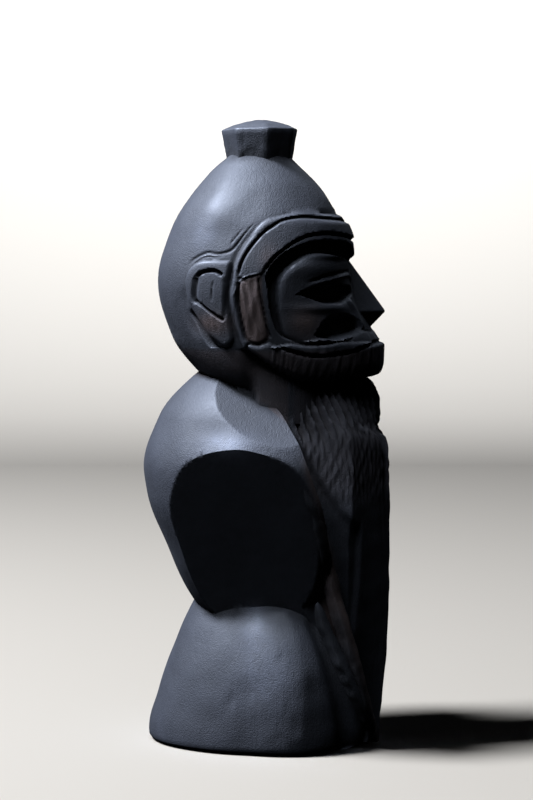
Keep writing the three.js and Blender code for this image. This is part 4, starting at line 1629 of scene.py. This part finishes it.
@dataclass
class Figure:
    """The whole carving, joined and dressed."""

    cloak: Cloak = field(default_factory=Cloak)
    beard: Beard = field(default_factory=Beard)
    head: Head = field(default_factory=Head)
    knob: Knob = field(default_factory=Knob)
    crease_degrees: float = 42.0
    bend_gain: float = 5.0
    bend_smoothing: int = 2
    band_width: float = 7.0  # degrees over which the cloak's edge is worn brown
    # spots rubbed smoother, where the material also lays a painted highlight: shoulder, skirt and cap
    rubbed_and_painted_highlight: tuple[Bump, ...] = (
        Bump(106, 98.5, 14, 4.0, 1.0),
        Bump(95, 41.0, 12, 6.0, 1.1),
        Bump(88, 26.0, 22, 12.0, 0.35),
        Bump(131, 164.0, 10, 6.0, 0.4),
    )

    def bend(self, mesh: bpy.types.Mesh) -> Array:
        """How far the surface bends at each point, smoothed over its neighbours.

        Args:
            mesh: the mesh of the joined figure.

        Returns:
            One value for each vertex: positive on a ridge and negative in a cut.
        """
        spots = read(mesh.vertices, "co", 3)
        normals = read(mesh.vertex_normals, "vector", 3)
        ends = read(mesh.edges, "vertices", 2, int)
        length = np.maximum(np.linalg.norm(spots[ends[:, 1]] - spots[ends[:, 0]], axis=1), TINY)
        bend = np.zeros(len(spots))
        weight = np.zeros(len(spots))
        for end, other in ((0, 1), (1, 0)):
            here = ends[:, end]
            slope = np.einsum("ij,ij->i", spots[ends[:, other]] - spots[here], normals[here]) / length
            np.add.at(bend, here, -slope)
            np.add.at(weight, here, 1.0)
        bend /= np.maximum(weight, 1.0)
        for _ in range(self.bend_smoothing):
            total, hits = bend.copy(), np.ones(len(bend))
            for end, other in ((0, 1), (1, 0)):
                np.add.at(total, ends[:, end], bend[ends[:, other]])
                np.add.at(hits, ends[:, end], 1.0)
            bend = total / hits
        return bend * self.bend_gain

    def mark(self, mesh: bpy.types.Mesh) -> None:
        """Stores where the wood stands proud, lies in a cut that gets painted shade, is worn brown, or is
        rubbed smooth and carries a painted highlight.

        Args:
            mesh: the mesh of the joined figure.
        """
        bend = self.bend(mesh)
        spots = read(mesh.vertices, "co", 3) / MM
        values = {
            "raised": np.clip(bend, 0.0, 1.0),
            "sunk": np.clip(-bend, 0.0, 1.0),
            "brown": self.brown(spots),
            "polish_and_painted_highlight": self.polish_and_painted_highlight(spots),
        }
        for name, value in values.items():
            mesh.attributes.new(name, "FLOAT", "POINT").data.foreach_set("value", value.astype(np.float32))

    def polish_and_painted_highlight(self, spots: Array) -> Array:
        """How far the wood is rubbed smooth at each point, which also places a painted highlight.

        Args:
            spots: one row of x, y and z for each point.

        Returns:
            A share for each point.
        """
        x, y, height = spots.T
        angle = np.degrees(np.arctan2(x, AXIS_Y - y))
        rubbed_and_painted_highlight = sum(bump.relief(angle, height) for bump in self.rubbed_and_painted_highlight)
        return np.clip(rubbed_and_painted_highlight, 0.0, 1.0)

    def brown(self, spots: Array) -> Array:
        """How brown the wood is worn at each point.

        Args:
            spots: one row of x, y and z for each point.

        Returns:
            A share for each point.
        """
        x, y, height = spots.T
        angle = np.degrees(np.arctan2(x, AXIS_Y - y))
        reach = np.hypot(x, y - AXIS_Y)
        sheet = Sheet.unrolled(angle, height)
        side = np.abs(angle)
        panel = Patch(self.head.panel, 1.0, 2.0).share(sheet)
        cheek = Bump(60, 136, 12, 5, 0.8).relief(angle, height)
        lobe = Bump(122, 135.5, 14, 3.5, 0.9).relief(angle, height)
        collar = eased(height - Rail(self.cloak.collar_foot).at(side)) * eased((122.0 - height) / 2.0)
        collar = collar * eased((150.0 - side) / 20.0) * eased((side - 66.0) / 3.0)
        collar = 0.3 * collar * eased((reach - 19.0) / 3.0)
        edge = CLOAK_EDGE.at(height)
        strip = 0.8 * eased(1.0 - np.abs(side - edge + 2.0) / self.band_width) * eased((97.0 - height) / 10.0)
        jaw = 0.35 * eased((128 - height) / 2.0) * eased((height - 117.5) / 2.0)
        beard = 0.15 * eased((66.0 - side) / 6.0) * eased((118.0 - height) / 3.0)
        beard = beard * eased((height - 74.0) / 12.0)
        brow = Bump(84, 156, 8, 5, 0.4).relief(angle, height)
        places = [panel, cheek, lobe, collar, strip, jaw, beard, brow]
        return np.clip(np.max(places, axis=0), 0.0, 1.0)

    def build(self) -> bpy.types.Object:
        """Makes the figure as one piece at the origin.

        Returns:
            The object.
        """
        folds = [fold.build(side) for fold in FOLDS for side in (1, -1)]
        pieces = [*self.cloak.build(), self.beard.build(), self.knob.build(), *folds]
        head = self.head.build()
        for piece in (head, *pieces):
            LOG.info("%s: %d faces", piece.name, len(piece.data.polygons))
        whole = joined("figure", head, pieces)
        work = bmesh.new()
        work.from_mesh(whole.data)
        bmesh.ops.remove_doubles(work, verts=work.verts, dist=MERGE)
        bmesh.ops.triangulate(work, faces=work.faces)
        work.to_mesh(whole.data)
        work.free()
        whole.data.set_sharp_from_angle(angle=math.radians(self.crease_degrees))
        self.mark(whole.data)
        whole.data.materials.clear()
        whole.data.materials.append(BlackStain().build())
        LOG.info("%s: %d triangles", whole.name, len(whole.data.polygons))
        return whole


@dataclass
class Studio:
    """Pale seamless table, soft lights and the camera."""

    camera_place: Place = (-0.720, 0.0, 0.160)
    camera_pitch: float = 3.97
    lens: float = 100.44
    sensor: float = 36.0
    key_place: Place = (-0.08, 0.72, 1.20)
    key_size: float = 0.30
    key_power: float = 130.0  # on the figure
    key_colour: Colour = (0.70, 0.79, 1.0)
    table_power: float = 24.0  # on the table, from the same place
    backdrop_place: Place = (0.9, 0.0, 1.6)
    backdrop_size: float = 1.2
    backdrop_power: float = 60.0
    fill_place: Place = (-0.44, 0.5, 1.35)
    fill_size: float = 0.9
    fill_power: float = 46.0
    fill_colour: Colour = (0.72, 0.82, 1.0)
    rim_place: Place = (0.9, -0.5, 0.9)
    rim_size: float = 0.7
    rim_power: float = 2.5
    world: float = 0.002
    aim: Place = (0.0, 0.0, 0.1)  # where every light but the backdrop's looks
    floor_half: float = 2.2
    sweep_start: float = 1.2
    sweep_radius: float = 0.8
    sweep_steps: int = 12
    sweep_top: float = 3.0
    paper: Colour = (0.72, 0.70, 0.67)
    paper_roughness: float = 0.9

    def camera(self) -> None:
        """Stands the camera where the photograph was taken from."""
        data = bpy.data.cameras.new("camera")
        data.lens = self.lens
        data.sensor_width = self.sensor
        data.clip_start = 0.01
        camera = stand("camera", data)
        camera.location = self.camera_place
        camera.rotation_euler = (math.radians(90.0 - self.camera_pitch), 0.0, math.radians(-90.0))
        bpy.context.scene.camera = camera

    def area(self, name: str, place: Place, size: float, power: float) -> bpy.types.Object:
        """Hangs one soft round light that looks at the figure's middle.

        Args:
            name: name of the light.
            place: where it hangs.
            size: its width.
            power: its power in watts.

        Returns:
            The light's object.
        """
        data = bpy.data.lights.new(name, "AREA")
        data.shape = "DISK"
        data.size = size
        data.energy = power
        light = stand(name, data)
        light.location = place
        light.rotation_euler = (Vector(self.aim) - Vector(place)).to_track_quat("-Z", "Y").to_euler()
        return light

    def only_on(self, light: bpy.types.Object, thing: bpy.types.Object) -> None:
        """Lets a light fall on one object alone.

        Args:
            light: the light's object.
            thing: the one object that it lights.
        """
        lit = bpy.data.collections.new(f"lit_by_{light.name}")
        lit.objects.link(thing)
        light.light_linking.receiver_collection = lit

    def floor(self) -> bpy.types.Object:
        """Lays the table and sweeps it up behind the figure without a corner.

        Returns:
            The table's object.
        """
        work = bmesh.new()
        half = self.floor_half
        start = [work.verts.new((-half, y, 0.0)) for y in (-half, half)]
        edge = work.edges.new(start)
        steps = [(self.sweep_start, 0.0)]
        for turn in np.radians(np.linspace(0.0, 90.0, self.sweep_steps + 1)[1:]):
            x = self.sweep_start + self.sweep_radius * math.sin(turn)
            steps.append((x, self.sweep_radius * (1.0 - math.cos(turn))))
        steps.append((self.sweep_start + self.sweep_radius, self.sweep_top))
        for x, z in steps:
            made = bmesh.ops.extrude_edge_only(work, edges=[edge])["geom"]
            edge = next(g for g in made if isinstance(g, bmesh.types.BMEdge))
            for vert in edge.verts:
                vert.co.x, vert.co.z = x, z
        bmesh.ops.recalc_face_normals(work, faces=work.faces)
        mesh = bpy.data.meshes.new("table")
        work.to_mesh(mesh)
        work.free()
        mesh.shade_smooth()
        table = stand("table", mesh)
        paper = bpy.data.materials.new("pale_paper")
        paper.use_nodes = True
        shader = paper.node_tree.nodes["Principled BSDF"]
        shader.inputs["Base Color"].default_value = (*self.paper, 1.0)
        shader.inputs["Roughness"].default_value = self.paper_roughness
        mesh.materials.append(paper)
        table.visible_glossy = False
        table.visible_diffuse = False
        return table

    def build(self) -> bpy.types.Object:
        """Sets up the studio and returns the table.

        Returns:
            The table's object.
        """
        world = bpy.data.worlds.new("studio")
        world.use_nodes = True
        background = world.node_tree.nodes["Background"]
        background.inputs["Color"].default_value = (1.0, 1.0, 1.0, 1.0)
        background.inputs["Strength"].default_value = self.world
        bpy.context.scene.world = world
        self.camera()
        return self.floor()

    def light(self, figure: bpy.types.Object, table: bpy.types.Object) -> None:
        """Lights the figure and, more gently and from the same place, the pale table.

        Args:
            figure: the figure.
            table: the table.
        """
        key = self.area("key", self.key_place, self.key_size, self.key_power)
        key.data.color = self.key_colour
        self.only_on(key, figure)
        self.only_on(self.area("table_key", self.key_place, self.key_size, self.table_power), table)
        backdrop = self.area("backdrop", self.backdrop_place, self.backdrop_size, self.backdrop_power)
        backdrop.rotation_euler = (0.0, math.radians(-90.0), 0.0)
        self.only_on(backdrop, table)
        fill = self.area("fill", self.fill_place, self.fill_size, self.fill_power)
        fill.data.color = self.fill_colour
        self.only_on(fill, figure)
        rim = self.area("rim", self.rim_place, self.rim_size, self.rim_power)
        rim.data.color = self.fill_colour
        self.only_on(rim, figure)
        bpy.context.scene.view_settings.view_transform = "Standard"


def main() -> None:
    """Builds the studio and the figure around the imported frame."""
    logging.basicConfig(level=logging.INFO, format="%(name)s: %(message)s")
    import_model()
    studio = Studio()
    table = studio.build()
    figure = Figure().build()
    studio.light(figure, table)
    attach(figure, "root")
    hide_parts(NODE)
    LOG.info("figure stands in place of %s", NODE)


if __name__ == "__main__":
    main()
